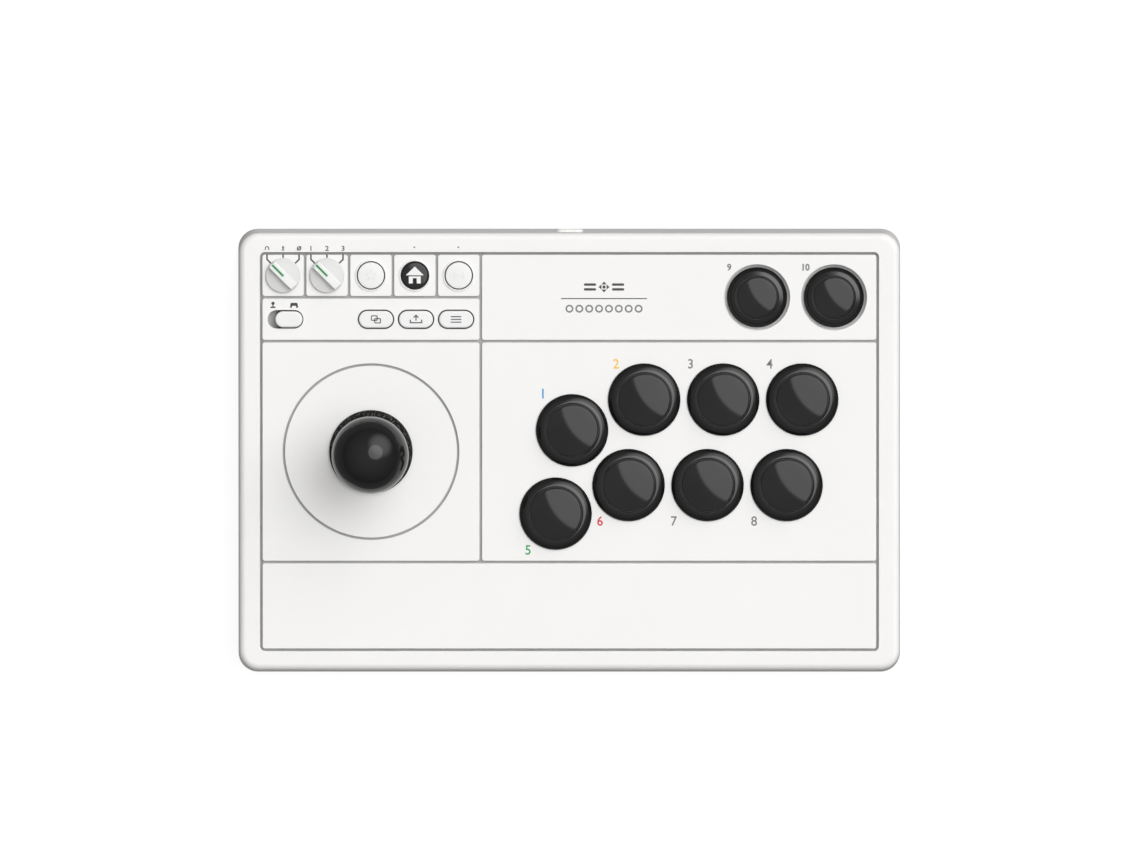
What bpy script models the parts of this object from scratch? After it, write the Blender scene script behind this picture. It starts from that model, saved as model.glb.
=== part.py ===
"""Arcade joystick panel: a flat-box stick controller with a ball-top lever, ten push buttons,
two mode dials, three round keys, three pill keys and a slide switch.

Metres, +Z up. The origin is on the table, under the middle of the object's footprint. +X is the
player's right and +Y points away from the player. Every piece stands in its rest position.
"""

import math
from collections import namedtuple

import bmesh
import bpy
from mathutils import Matrix, Vector

MM = 0.001

# Fits
GAP = 0.3 * MM  # between pieces that touch
OVERRUN = 1.0 * MM  # how far a cutter runs past the wall that it cuts
BITE = 0.6 * MM  # how deep a boss is sunk into the wall that it grows from
SCREW_PILOT = 1.3 * MM  # radius of a hole that a self-tapping screw cuts its thread in

# Case
CASE_WIDTH = 303.0 * MM
CASE_DEPTH = 203.0 * MM
PANEL_HEIGHT = 53.0 * MM  # from the table to the top of the panel
FOOT_HEIGHT = 3.0 * MM
CASE_CORNER = 9.0 * MM
CASE_WALL = 2.5 * MM
SIDE_DRAFT = 1.0 * MM
REAR_DRAFT = 0.65 * MM
FRONT_DRAFT = 2.95 * MM
TOP_FILLET = 3.0 * MM

# Faceplate, let into the top of the case
PLATE_MARGIN_X = 9.5 * MM  # from the case's top edge to the faceplate's opening
PLATE_MARGIN_Y = 8.75 * MM
PLATE_JOINT = 1.2 * MM  # visible joint all round the faceplate
PLATE_CORNER = 1.1 * MM
PLATE_THICKNESS = 3.0 * MM
LEDGE_BEARING = 2.4 * MM  # how far the faceplate rests on the case's ledge
LEDGE_THICKNESS = 2.5 * MM

# Grooves that divide the faceplate into fields
STRIP_DEPTH = 40.0 * MM  # rear and front strips
CELL = 20.0 * MM  # small fields in the rear left corner, which together are as wide as the lever's
CELL_COUNT = 5
GROOVE_WIDTH = 1.15 * MM
GROOVE_DEPTH = 0.9 * MM
RING_GROOVE_RADIUS = 39.7 * MM
RING_GROOVE_WIDTH = 0.8 * MM

# Base plate and feet
BASE_PLATE_THICKNESS = 1.6 * MM
BASE_POST_RADIUS = 5.0 * MM
BASE_POST_OUTSET = 0.7 * MM  # from the faceplate's edge out to a post's axis
FRONT_POST_SPAN = 96.0 * MM
BASE_SCREW_RADIUS = 1.7 * MM
BASE_SCREW_HEAD = 3.2 * MM
PILOT_DEPTH = 14.0 * MM
FOOT_LENGTH = 236.0 * MM
FOOT_WIDTH = 14.0 * MM
FOOT_INSET = 13.0 * MM  # from the case's edge to a foot strip
FOOT_CORNER = 5.0 * MM
FOOT_BEVEL = 1.0 * MM

# Lever
LEVER_INSET = 50.0 * MM  # from the faceplate's joint to the lever's axis
PIVOT_DEPTH = 12.0 * MM  # from the panel's top down to the pivot
BALL_HEIGHT = 41.0 * MM  # from the panel's top up to the ball's centre
BALL_RADIUS = 17.5 * MM
BALL_FLAT = 0.8 * MM
SHAFT_RADIUS = 4.75 * MM
SHAFT_TIP_RADIUS = 3.0 * MM
SHAFT_TIP_LENGTH = 12.0 * MM
SHAFT_BELOW = 32.8 * MM  # from the pivot down to the shaft's end
LEVER_THROW = math.radians(8.5)  # each way, front to back and left to right
CORNER_THROW = 1.5 * LEVER_THROW  # a push into a corner tilts the lever further, and this clears it
PIVOT_BALL_RADIUS = 10.0 * MM
PIVOT_BALL_HALF = 6.0 * MM
LEVER_HOLE_RADIUS = 12.0 * MM
WASHER_RADIUS = 19.0 * MM
WASHER_THICKNESS = 1.0 * MM
WASHER_BEVEL = 0.5 * MM
MOUNT_PLATE_LENGTH = 95.0 * MM
MOUNT_PLATE_WIDTH = 53.0 * MM
MOUNT_PLATE_THICKNESS = 1.6 * MM
MOUNT_PLATE_CORNER = 3.0 * MM
MOUNT_HOLE_SPAN_X = 84.0 * MM
MOUNT_HOLE_SPAN_Y = 40.0 * MM
MOUNT_BOSS_RADIUS = 4.5 * MM
MOUNT_BOSS_HEIGHT = 3.0 * MM
HOUSING_LENGTH = 62.0 * MM
HOUSING_WIDTH = 56.0 * MM
HOUSING_WALL = 2.0 * MM
HOUSING_TOP = 6.8 * MM
HOUSING_DEPTH = 22.8 * MM
HOUSING_FLANGE = 2.0 * MM
HOUSING_CORNER = 4.0 * MM
HOUSING_INSIDE_CORNER = 2.0 * MM
BOARD_THICKNESS = 1.6 * MM
SWITCH_BOARD_HOLE = 14.0 * MM
LEVER_SWITCH_LENGTH = 20.0 * MM
LEVER_SWITCH_WIDTH = 6.4 * MM
LEVER_SWITCH_HEIGHT = 6.0 * MM
GATE_THICKNESS = 3.0 * MM
GATE_CLEARANCE = 0.8 * MM
ACTUATOR_RADIUS = 8.0 * MM
ACTUATOR_SKIRT = 1.3 * MM  # wall of the sleeve that the gate stops
E_CLIP_INSET = 1.4 * MM  # from the shaft's end up to the clip
E_CLIP_RADIUS = 6.3 * MM
E_CLIP_THICKNESS = 0.8 * MM
E_CLIP_GROOVE = 0.85 * MM
E_CLIP_OPENING = math.radians(70.0)
SPRING_RADIUS = 6.9 * MM
SPRING_WIRE = 0.6 * MM
SPRING_TURNS = 4
SPRING_FACETS = 5
SEAT_LIP = 1.5 * MM  # how far the spring's seat reaches past the spring's middle
SEAT_THICKNESS = 1.0 * MM

# Push buttons
ButtonSize = namedtuple(
    "ButtonSize",
    "barrel_radius barrel_wall barrel_depth rim_lip rim_height flange_lip crown travel",
)
LARGE_BUTTON = ButtonSize(
    barrel_radius=14.8 * MM,
    barrel_wall=1.6 * MM,
    barrel_depth=18.0 * MM,
    rim_lip=1.7 * MM,
    rim_height=2.5 * MM,
    flange_lip=0.95 * MM,
    crown=3.2 * MM,
    travel=2.5 * MM,
)
SMALL_BUTTON = ButtonSize(
    barrel_radius=11.8 * MM,
    barrel_wall=1.5 * MM,
    barrel_depth=17.0 * MM,
    rim_lip=1.9 * MM,
    rim_height=2.4 * MM,
    flange_lip=0.6 * MM,
    crown=2.4 * MM,
    travel=2.2 * MM,
)
BUTTON_FLOOR = 1.5 * MM
BUTTON_RETAINER = 1.0 * MM  # how far the rim's bore reaches below the seat
BUTTON_FLANGE = 2.0 * MM
BUTTON_STEM_RADIUS = 2.5 * MM
BUTTON_STEM_REACH = 1.6 * MM
BUTTON_CAP_WALL = 1.9 * MM
RIM_SHOULDER = 0.55  # share of a rim's height that stands upright
RIM_SLOPE = 0.6  # how far its shoulder slopes in, as a share of its height
RIM_MOUTH = 0.5 * MM  # width of the bevel at a rim's mouth
RIM_MOUTH_DEPTH = 0.4 * MM
CROWN_SHARE = 0.68  # radius where a plunger's crown turns down, as a share of its own
CROWN_DROP = 0.6 * MM
MICROSWITCH_LENGTH = 12.8 * MM
MICROSWITCH_WIDTH = 5.8 * MM
MICROSWITCH_HEIGHT = 6.5 * MM
MICROSWITCH_KEY_LENGTH = 3.0 * MM
MICROSWITCH_KEY_WIDTH = 2.4 * MM
MICROSWITCH_KEY_RISE = 0.8 * MM

# Button field
COLUMN_GAP = 3.0 * MM  # between the rims of neighbours in a row
ROW_GAP = 6.0 * MM  # between the rims of the two rows
ROW_SHIFT = 7.1 * MM  # the near row stands this much further left
ROW_COLUMNS = 3
LAST_COLUMN_INSET = 34.3 * MM  # from the faceplate's joint to the last column of the far row
FIELD_CENTRE = 4.3 * MM  # middle of the two rows, behind the panel's centre
THUMB_GAP = 2.7 * MM
THUMB_DROP_FAR = 14.0 * MM
THUMB_DROP_NEAR = 13.0 * MM

# Small buttons in wells, in the rear right strip
WELL_RADIUS = 15.0 * MM
WELL_DEPTH = 2.2 * MM
WELL_FLOOR = 2.6 * MM
WELL_BOSS_WALL = 1.6 * MM
WELL_GAP = 5.0 * MM  # between the two wells
WELL_INSET = 19.9 * MM  # from the faceplate's joint to the last well's axis

# Keys, dials and the slide switch
ROUND_KEY_RADIUS = 6.0 * MM
ROUND_KEY_COLLAR = 0.85 * MM
ROUND_KEY_COLLAR_HEIGHT = 0.6 * MM
KEY_RISE = 1.0 * MM
KEY_FLANGE_LIP = 0.85 * MM
KEY_FLANGE = 1.2 * MM
KEY_STEM = 1.5 * MM
KEY_TRAVEL = 0.8 * MM
KEY_BEVEL = 0.4 * MM
PILL_LENGTH = 15.5 * MM
PILL_WIDTH = 7.7 * MM
PILL_CLEARANCE = 0.35 * MM
PILL_STEP = 18.25 * MM
PILL_INSET = 11.2 * MM  # from the cells' last groove to the last pill key
DIAL_RADIUS = 7.85 * MM
DIAL_DISC = 2.0 * MM
DIAL_BAR_WIDTH = 4.0 * MM
DIAL_BAR_HEIGHT = 2.4 * MM
DIAL_BAR_END = 0.4 * MM  # from a bar's end to the disc's edge
DIAL_SPINDLE = 3.0 * MM
DIAL_REST_ANGLE = math.radians(135.0)
SLIDER_LENGTH = 12.5 * MM
SLIDER_WIDTH = 7.3 * MM
SLIDER_TRAVEL = 3.0 * MM
SLIDER_SIDE_GAP = 0.55 * MM
SLIDER_END_GAP = 0.35 * MM
SLIDER_RISE = 1.4 * MM
SLIDER_BEVEL = 0.5 * MM
SLIDER_FLANGE_LIP = 2.0 * MM
SLIDER_INSET = 11.1 * MM  # from the faceplate's joint to the slot's centre

# Electronics
CONTROL_BOARD_DROP = 9.4 * MM  # from the panel's top down to the control board's face
CONTROL_BOARD_WIDTH = 88.0 * MM
CONTROL_BOARD_DEPTH = 32.0 * MM
CONTROL_BOARD_INSET = 7.4 * MM
CONTROL_BOARD_SETBACK = 22.0 * MM  # from the faceplate's rear joint to the board's middle
SLIDE_SWITCH_MARGIN = 2.0 * MM
TACT_SWITCH_SIDE = 6.0 * MM
BOARD_BOSS_RADIUS = 2.8 * MM
MAIN_BOARD_WIDTH = 84.0 * MM
MAIN_BOARD_DEPTH = 46.0 * MM
MAIN_BOARD_DROP = 18.0 * MM
MAIN_BOSS_SPAN_X = 74.0 * MM
MAIN_BOSS_SPAN_Y = 30.0 * MM
MAIN_BOSS_SETBACK = 4.0 * MM  # the bosses' middle stands this much in front of the board's
MAIN_BOARD_CLEARANCE = 1.0 * MM  # from the rear wall
CHIP_OFFSET = 18.0 * MM  # each chip's middle, from the board's
PROCESSOR_SIDE = 10.0 * MM
PROCESSOR_HEIGHT = 1.2 * MM
RADIO_CAN_LENGTH = 15.0 * MM
RADIO_CAN_WIDTH = 12.0 * MM
RADIO_CAN_HEIGHT = 2.4 * MM
USB_WIDTH = 9.0 * MM
USB_HEIGHT = 3.3 * MM
USB_LENGTH = 9.5 * MM
USB_WALL = 0.4 * MM
USB_RECESS = 0.5 * MM
USB_TONGUE_SIDE_GAP = 0.8 * MM
USB_TONGUE_FACE_GAP = 0.85 * MM
USB_FLOOR = 1.0 * MM
BEZEL_WIDTH = 12.6 * MM
BEZEL_HEIGHT = 6.6 * MM
BEZEL_RISE = 1.25 * MM
BATTERY_LENGTH = 62.0 * MM
BATTERY_WIDTH = 36.0 * MM
BATTERY_HEIGHT = 8.0 * MM
BATTERY_CORNER = 3.0 * MM
BATTERY_PLACE = (50.0 * MM, -45.0 * MM)

# Facets
ROUND = 16
SMALL_ROUND = 12
TINY_ROUND = 8
CORNER = 6
SHARP_CORNER = 3
FILLET_STEPS = 3
ARC_STEPS = 4

# Levels and outlines that follow from the sizes above
CASE_TOP = PANEL_HEIGHT - TOP_FILLET
USB_LEVEL = PANEL_HEIGHT - MAIN_BOARD_DROP + GAP + USB_HEIGHT / 2


def draft_share(z):
    """How much of the side walls' lean is used up at height z."""
    return (z - FOOT_HEIGHT) / (CASE_TOP - FOOT_HEIGHT)


BEZEL_OVERHANG = BEZEL_RISE - REAR_DRAFT * draft_share(USB_LEVEL)
BASE_Y = -max(BEZEL_OVERHANG, 0.0) / 2
BASE_FRONT = BASE_Y - CASE_DEPTH / 2
BASE_REAR = BASE_Y + CASE_DEPTH / 2
PANEL_Y = BASE_Y + (FRONT_DRAFT - REAR_DRAFT) / 2
OPENING_X = CASE_WIDTH / 2 - SIDE_DRAFT - PLATE_MARGIN_X
OPENING_Y = (CASE_DEPTH - FRONT_DRAFT - REAR_DRAFT) / 2 - PLATE_MARGIN_Y
JOINT_X = OPENING_X - PLATE_JOINT / 2
JOINT_Y = OPENING_Y - PLATE_JOINT / 2
PLATE_X = OPENING_X - PLATE_JOINT
PLATE_Y = OPENING_Y - PLATE_JOINT
PLATE_UNDERSIDE = -PLATE_THICKNESS
LEDGE_X = PLATE_X - LEDGE_BEARING
LEDGE_Y = PLATE_Y - LEDGE_BEARING
BASE_PLATE_BOTTOM = FOOT_HEIGHT + GAP
BASE_PLATE_TOP = BASE_PLATE_BOTTOM + BASE_PLATE_THICKNESS
LEVER_U = LEVER_INSET - JOINT_X
CELLS_END = CELL * CELL_COUNT - JOINT_X
STRIP_V = JOINT_Y - STRIP_DEPTH


# Colours: base colour, roughness, metallic
FINISHES = {
    "white_plastic": ((0.86, 0.86, 0.85), 0.45, 0.0),
    "white_faceplate": ((0.88, 0.88, 0.87), 0.40, 0.0),
    "black_gloss_plastic": ((0.02, 0.02, 0.02), 0.12, 0.0),
    "black_plastic": ((0.03, 0.03, 0.03), 0.50, 0.0),
    "dark_washer": ((0.025, 0.025, 0.025), 0.70, 0.0),
    "key_plastic": ((0.78, 0.78, 0.77), 0.45, 0.0),
    "rubber": ((0.04, 0.04, 0.04), 0.90, 0.0),
    "steel": ((0.60, 0.60, 0.61), 0.35, 1.0),
    "chrome": ((0.75, 0.75, 0.76), 0.12, 1.0),
    "circuit_board": ((0.02, 0.14, 0.07), 0.40, 0.0),
    "battery_wrap": ((0.08, 0.16, 0.40), 0.45, 0.0),
    "acetal": ((0.80, 0.80, 0.76), 0.35, 0.0),
}


def finish(name):
    """The named material, made the first time that it is asked for."""
    found = bpy.data.materials.get(name)
    if found:
        return found
    made = bpy.data.materials.new(name)
    made.use_nodes = True
    colour, roughness, metallic = FINISHES[name]
    shader = made.node_tree.nodes["Principled BSDF"]
    shader.inputs["Base Color"].default_value = (*colour, 1.0)
    shader.inputs["Roughness"].default_value = roughness
    shader.inputs["Metallic"].default_value = metallic
    made.diffuse_color = (*colour, 1.0)
    return made


# Outlines: lists of (x, y), counterclockwise


def circle(radius, points=ROUND, centre=(0.0, 0.0)):
    """A circle whose points straddle the axes, so that it lines up with a rounded rectangle."""
    step = 2 * math.pi / points
    return [
        (centre[0] + radius * math.cos((i + 0.5) * step), centre[1] + radius * math.sin((i + 0.5) * step))
        for i in range(points)
    ]


def box_outline(x0, x1, y0, y1, radius, corner=CORNER):
    """A rectangle with rounded corners, each drawn with `corner` points."""
    outline = []
    left, right = x0 + radius, x1 - radius
    front, rear = y0 + radius, y1 - radius
    centres = ((right, rear), (left, rear), (left, front), (right, front))
    for quarter, (cx, cy) in enumerate(centres):
        for i in range(corner):
            angle = (quarter + i / (corner - 1)) * math.pi / 2
            outline.append((cx + radius * math.cos(angle), cy + radius * math.sin(angle)))
    return outline


def centred_box(length, width, radius, corner=CORNER, centre=(0.0, 0.0)):
    x, y = centre
    return box_outline(x - length / 2, x + length / 2, y - width / 2, y + width / 2, radius, corner)


def rectangle(length, width, centre=(0.0, 0.0)):
    x, y = centre
    return [
        (x + length / 2, y + width / 2),
        (x - length / 2, y + width / 2),
        (x - length / 2, y - width / 2),
        (x + length / 2, y - width / 2),
    ]


def pill(length, width, points=SMALL_ROUND, centre=(0.0, 0.0)):
    """Two half circles joined by straight sides along X."""
    half = points // 2
    radius = width / 2
    outline = []
    for side in (1, -1):
        for i in range(half + 1):
            angle = math.pi * (i / half - 0.5 * side)
            outline.append(
                (
                    centre[0] + side * (length / 2 - radius) + radius * math.cos(angle),
                    centre[1] + radius * math.sin(angle),
                )
            )
    return outline


def case_outline(z, inset=0.0):
    """The case's outer outline at height z, drawn in by `inset`."""
    lean = draft_share(min(z, CASE_TOP))
    x = CASE_WIDTH / 2 - SIDE_DRAFT * lean - inset
    front = BASE_FRONT + FRONT_DRAFT * lean + inset
    rear = BASE_REAR - REAR_DRAFT * lean - inset
    return box_outline(-x, x, front, rear, CASE_CORNER - inset)


def panel_box(half_x, half_y, radius):
    """A rounded rectangle about the panel's centre, in the case's own coordinates."""
    return box_outline(-half_x, half_x, PANEL_Y - half_y, PANEL_Y + half_y, radius)


# Solids in bmesh


def at_height(outline, z):
    return [(x, y, z) for x, y in outline]


def loft(mesh, loops, ring=False):
    """Skins loops of equal length; a ring joins the last loop to the first, otherwise both ends get a cap."""
    rows = [[mesh.verts.new(point) for point in loop] for loop in loops]
    pairs = list(zip(rows, rows[1:]))
    if ring:
        pairs.append((rows[-1], rows[0]))
    count = len(rows[0])
    for low, high in pairs:
        for i in range(count):
            j = (i + 1) % count
            mesh.faces.new((low[i], low[j], high[j], high[i]))
    if not ring:
        mesh.faces.new(rows[0])
        mesh.faces.new(rows[-1])


def prism(mesh, outline, z0, z1):
    loft(mesh, [at_height(outline, z0), at_height(outline, z1)])


def lathe(mesh, profile, points=ROUND, centre=(0.0, 0.0)):
    """Turns a closed profile of (radius, z) about the Z axis. It may touch the axis in one stretch."""
    rows = []
    for radius, z in profile:
        if radius == 0.0:
            rows.append([mesh.verts.new((centre[0], centre[1], z))] * points)
        else:
            rows.append([mesh.verts.new((x, y, z)) for x, y in circle(radius, points, centre)])
    for low, high in zip(rows, rows[1:] + rows[:1]):
        if low[0] is low[1] and high[0] is high[1]:
            continue
        for i in range(points):
            j = (i + 1) % points
            corners = dict.fromkeys((low[i], low[j], high[j], high[i]))
            mesh.faces.new(tuple(corners))


def sphere_arc(radius, low, high, steps, middle=0.0):
    """(radius, z) points on a sphere's side, from height `low` to height `high` about `middle`."""
    start, end = math.asin(low / radius), math.asin(high / radius)
    arc = []
    for i in range(steps + 1):
        angle = start + (end - start) * i / steps
        arc.append((max(radius * math.cos(angle), 0.0), middle + radius * math.sin(angle)))
    return arc


# Objects


def add_object(name, mesh, finish_name, place=(0.0, 0.0, 0.0), parent=None, smooth=True):
    """Turns a bmesh into a named object, with its faces pointing out."""
    bmesh.ops.recalc_face_normals(mesh, faces=mesh.faces)
    data = bpy.data.meshes.new(name)
    mesh.to_mesh(data)
    mesh.free()
    if smooth:
        data.shade_smooth()
        data.set_sharp_from_angle(angle=math.radians(35))
    data.materials.append(finish(finish_name))
    made = bpy.data.objects.new(name, data)
    made.location = place
    made.parent = parent
    bpy.context.scene.collection.objects.link(made)
    return made


def add_empty(name, place, parent=None):
    made = bpy.data.objects.new(name, None)
    made.empty_display_size = 0.01
    made.location = place
    made.parent = parent
    bpy.context.scene.collection.objects.link(made)
    return made


def combine(target, operation, name, mesh):
    """Adds a helper beside `target` and joins it to it, or cuts it from it."""
    helper = add_object(name, mesh, "steel", target.location, target.parent, smooth=False)
    helper.hide_render = True
    helper.display_type = "WIRE"
    modifier = target.modifiers.new(name, "BOOLEAN")
    modifier.operation = operation
    modifier.object = helper


def clear_scene():
    for old in list(bpy.data.objects):
        bpy.data.objects.remove(old, do_unlink=True)


# Places on the panel, as (u, v) from its centre


def large_button_places():
    """Two rows of three, and a thumb button at the left end of each row."""
    rim = LARGE_BUTTON.barrel_radius + LARGE_BUTTON.rim_lip
    column = 2 * rim + COLUMN_GAP
    half_row = rim + ROW_GAP / 2
    thumb = 2 * rim + THUMB_GAP
    last = JOINT_X - LAST_COLUMN_INSET
    rows = (
        ("far", last, FIELD_CENTRE + half_row, THUMB_DROP_FAR),
        ("near", last - ROW_SHIFT, FIELD_CENTRE - half_row, THUMB_DROP_NEAR),
    )
    places = {}
    for row, right, v, drop in rows:
        left = right - (ROW_COLUMNS - 1) * column
        places[f"{row}_1"] = (left - math.sqrt(thumb**2 - drop**2), v - drop)
        for i in range(ROW_COLUMNS):
            places[f"{row}_{i + 2}"] = (left + i * column, v)
    return places


def small_button_places():
    last = JOINT_X - WELL_INSET
    v = JOINT_Y - CELL
    return {"1": (last - 2 * WELL_RADIUS - WELL_GAP, v), "2": (last, v)}


def cell_centre(index):
    """Centre of one of the five small fields, counted from the left."""
    return (CELL * (index + 0.5) - JOINT_X, JOINT_Y - CELL / 2)


DIAL_PLACES = {"dial_left": cell_centre(0), "dial_right": cell_centre(1)}
ROUND_KEY_PLACES = {
    "star_key": cell_centre(2),
    "home_key": cell_centre(3),
    "pair_key": cell_centre(4),
}
KEY_ROW_V = JOINT_Y - CELL - CELL / 2
PILL_PLACES = {
    "view_key": (CELLS_END - PILL_INSET - 2 * PILL_STEP, KEY_ROW_V),
    "share_key": (CELLS_END - PILL_INSET - PILL_STEP, KEY_ROW_V),
    "menu_key": (CELLS_END - PILL_INSET, KEY_ROW_V),
}
SLIDER_PLACE = (SLIDER_INSET - JOINT_X, KEY_ROW_V)
SLOT_LENGTH = SLIDER_LENGTH + SLIDER_TRAVEL + 2 * SLIDER_END_GAP
SLOT_WIDTH = SLIDER_WIDTH + 2 * SLIDER_SIDE_GAP
MOUNT_BOSSES = [
    (LEVER_U + sx * MOUNT_HOLE_SPAN_X / 2, sy * MOUNT_HOLE_SPAN_Y / 2) for sx in (-1, 1) for sy in (-1, 1)
]
CONTROL_BOARD_PLACE = (
    CONTROL_BOARD_INSET + CONTROL_BOARD_WIDTH / 2 - JOINT_X,
    JOINT_Y - CONTROL_BOARD_SETBACK,
)
CONTROL_BOSSES = [(CELL * i - JOINT_X, JOINT_Y - CELL) for i in (1, CELL_COUNT - 1)]
REAR_WALL_V = OPENING_Y + PLATE_MARGIN_Y - CASE_WALL
MAIN_BOARD_V = REAR_WALL_V - MAIN_BOARD_CLEARANCE - MAIN_BOARD_DEPTH / 2
MAIN_BOSSES = [
    (sx * MAIN_BOSS_SPAN_X / 2, MAIN_BOARD_V - MAIN_BOSS_SETBACK + sy * MAIN_BOSS_SPAN_Y / 2)
    for sx in (-1, 1)
    for sy in (-1, 1)
]
POST_X = PLATE_X + BASE_POST_OUTSET
POST_Y = PLATE_Y + BASE_POST_OUTSET
BASE_POSTS = [(sx * POST_X, PANEL_Y + sy * POST_Y) for sx in (-1, 1) for sy in (-1, 1)]
BASE_POSTS += [(sx * FRONT_POST_SPAN / 2, PANEL_Y - POST_Y) for sx in (-1, 1)]


# Case


def add_top_shell():
    """Walls, rounded top edge, and a stepped opening whose ledge carries the faceplate."""
    ledge_top = PANEL_HEIGHT - PLATE_THICKNESS - GAP
    ledge_bottom = ledge_top - LEDGE_THICKNESS
    loops = [at_height(case_outline(z), z) for z in (FOOT_HEIGHT, CASE_TOP)]
    for step in range(1, FILLET_STEPS + 1):
        angle = step / FILLET_STEPS * math.pi / 2
        z = CASE_TOP + TOP_FILLET * math.sin(angle)
        loops.append(at_height(case_outline(z, TOP_FILLET * (1 - math.cos(angle))), z))
    corner = PLATE_CORNER + PLATE_JOINT
    loops.append(at_height(panel_box(OPENING_X, OPENING_Y, corner), PANEL_HEIGHT))
    loops.append(at_height(panel_box(OPENING_X, OPENING_Y, corner), ledge_top))
    loops.append(at_height(panel_box(LEDGE_X, LEDGE_Y, corner), ledge_top))
    loops.append(at_height(panel_box(LEDGE_X, LEDGE_Y, corner), ledge_bottom))
    loops.append(at_height(case_outline(ledge_bottom, CASE_WALL), ledge_bottom))
    loops.append(at_height(case_outline(FOOT_HEIGHT, CASE_WALL), FOOT_HEIGHT))
    mesh = bmesh.new()
    loft(mesh, loops, ring=True)
    shell = add_object("top_shell", mesh, "white_plastic")

    posts = bmesh.new()
    for centre in BASE_POSTS:
        prism(posts, circle(BASE_POST_RADIUS, SMALL_ROUND, centre), BASE_PLATE_TOP + GAP, ledge_bottom + BITE)
    combine(shell, "UNION", "base_posts", posts)

    bezel = bmesh.new()
    wall_rear = BASE_REAR - REAR_DRAFT * draft_share(USB_LEVEL)
    add_rear_pill(bezel, BEZEL_WIDTH, BEZEL_HEIGHT, wall_rear - CASE_WALL / 2, wall_rear + BEZEL_RISE)
    combine(shell, "UNION", "usb_bezel", bezel)

    holes = bmesh.new()
    for centre in BASE_POSTS:
        prism(holes, circle(SCREW_PILOT, TINY_ROUND, centre), 0.0, BASE_PLATE_TOP + GAP + PILOT_DEPTH)
    add_rear_pill(
        holes,
        USB_WIDTH + 2 * GAP,
        USB_HEIGHT + 2 * GAP,
        wall_rear - CASE_WALL - OVERRUN,
        wall_rear + BEZEL_RISE + OVERRUN,
    )
    combine(shell, "DIFFERENCE", "shell_holes", holes)


def add_rear_pill(mesh, width, height, y0, y1):
    """A pill-shaped bar along Y at the USB port's place, added to `mesh`."""
    bar = bmesh.new()
    prism(bar, pill(width, height), -y1, -y0)
    bar.transform(Matrix.Translation((0.0, 0.0, USB_LEVEL)) @ Matrix.Rotation(math.pi / 2, 4, "X"))
    data = bpy.data.meshes.new("rear_pill")
    bar.to_mesh(data)
    bar.free()
    mesh.from_mesh(data)
    bpy.data.meshes.remove(data)


def add_faceplate(panel):
    mesh = bmesh.new()
    outline = centred_box(2 * PLATE_X, 2 * PLATE_Y, PLATE_CORNER, SHARP_CORNER)
    prism(mesh, outline, PLATE_UNDERSIDE, 0.0)
    plate = add_object("faceplate", mesh, "white_faceplate", parent=panel)
    combine(plate, "UNION", "faceplate_bosses", faceplate_bosses())
    combine(plate, "DIFFERENCE", "faceplate_holes", faceplate_holes())
    combine(plate, "DIFFERENCE", "grooves_across", grooves_across())
    combine(plate, "DIFFERENCE", "grooves_along", grooves_along())


def faceplate_bosses():
    """Lever, board and well bosses under the plate, and the collars round the three round keys."""
    mesh = bmesh.new()
    root = PLATE_UNDERSIDE + BITE
    for centre in MOUNT_BOSSES:
        prism(mesh, circle(MOUNT_BOSS_RADIUS, SMALL_ROUND, centre), PLATE_UNDERSIDE - MOUNT_BOSS_HEIGHT, root)
    for centre in CONTROL_BOSSES:
        prism(mesh, circle(BOARD_BOSS_RADIUS, TINY_ROUND, centre), GAP - CONTROL_BOARD_DROP, root)
    for centre in MAIN_BOSSES:
        prism(mesh, circle(BOARD_BOSS_RADIUS, TINY_ROUND, centre), GAP - MAIN_BOARD_DROP, root)
    for centre in small_button_places().values():
        prism(mesh, circle(WELL_RADIUS + WELL_BOSS_WALL, ROUND, centre), -WELL_DEPTH - WELL_FLOOR, root)
    for centre in ROUND_KEY_PLACES.values():
        radius = ROUND_KEY_RADIUS + GAP + ROUND_KEY_COLLAR
        prism(mesh, circle(radius, ROUND, centre), -BITE, ROUND_KEY_COLLAR_HEIGHT)
    return mesh


def faceplate_holes():
    mesh = bmesh.new()
    low = PLATE_UNDERSIDE - OVERRUN
    high = ROUND_KEY_COLLAR_HEIGHT + OVERRUN
    prism(mesh, circle(LEVER_HOLE_RADIUS, ROUND, (LEVER_U, 0.0)), low, high)
    for centre in large_button_places().values():
        prism(mesh, circle(LARGE_BUTTON.barrel_radius + GAP, ROUND, centre), low, high)
    for centre in small_button_places().values():
        hole = SMALL_BUTTON.barrel_radius + GAP
        under_well = -WELL_DEPTH - WELL_FLOOR - OVERRUN
        profile = [
            (0.0, high),
            (WELL_RADIUS, high),
            (WELL_RADIUS, -WELL_DEPTH),
            (hole, -WELL_DEPTH),
            (hole, under_well),
            (0.0, under_well),
        ]
        lathe(mesh, profile, ROUND, centre)
    for centre in ROUND_KEY_PLACES.values():
        prism(mesh, circle(ROUND_KEY_RADIUS + GAP, SMALL_ROUND, centre), low, high)
    for centre in PILL_PLACES.values():
        opening = pill(PILL_LENGTH + 2 * PILL_CLEARANCE, PILL_WIDTH + 2 * PILL_CLEARANCE, centre=centre)
        prism(mesh, opening, low, high)
    for centre in DIAL_PLACES.values():
        prism(mesh, circle(DIAL_SPINDLE + GAP, SMALL_ROUND, centre), low, high)
    prism(mesh, pill(SLOT_LENGTH, SLOT_WIDTH, centre=SLIDER_PLACE), low, high)
    for centre in MOUNT_BOSSES:
        bottom = PLATE_UNDERSIDE - MOUNT_BOSS_HEIGHT
        prism(mesh, circle(SCREW_PILOT, TINY_ROUND, centre), bottom - OVERRUN, PLATE_UNDERSIDE + BITE)
    return mesh


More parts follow.
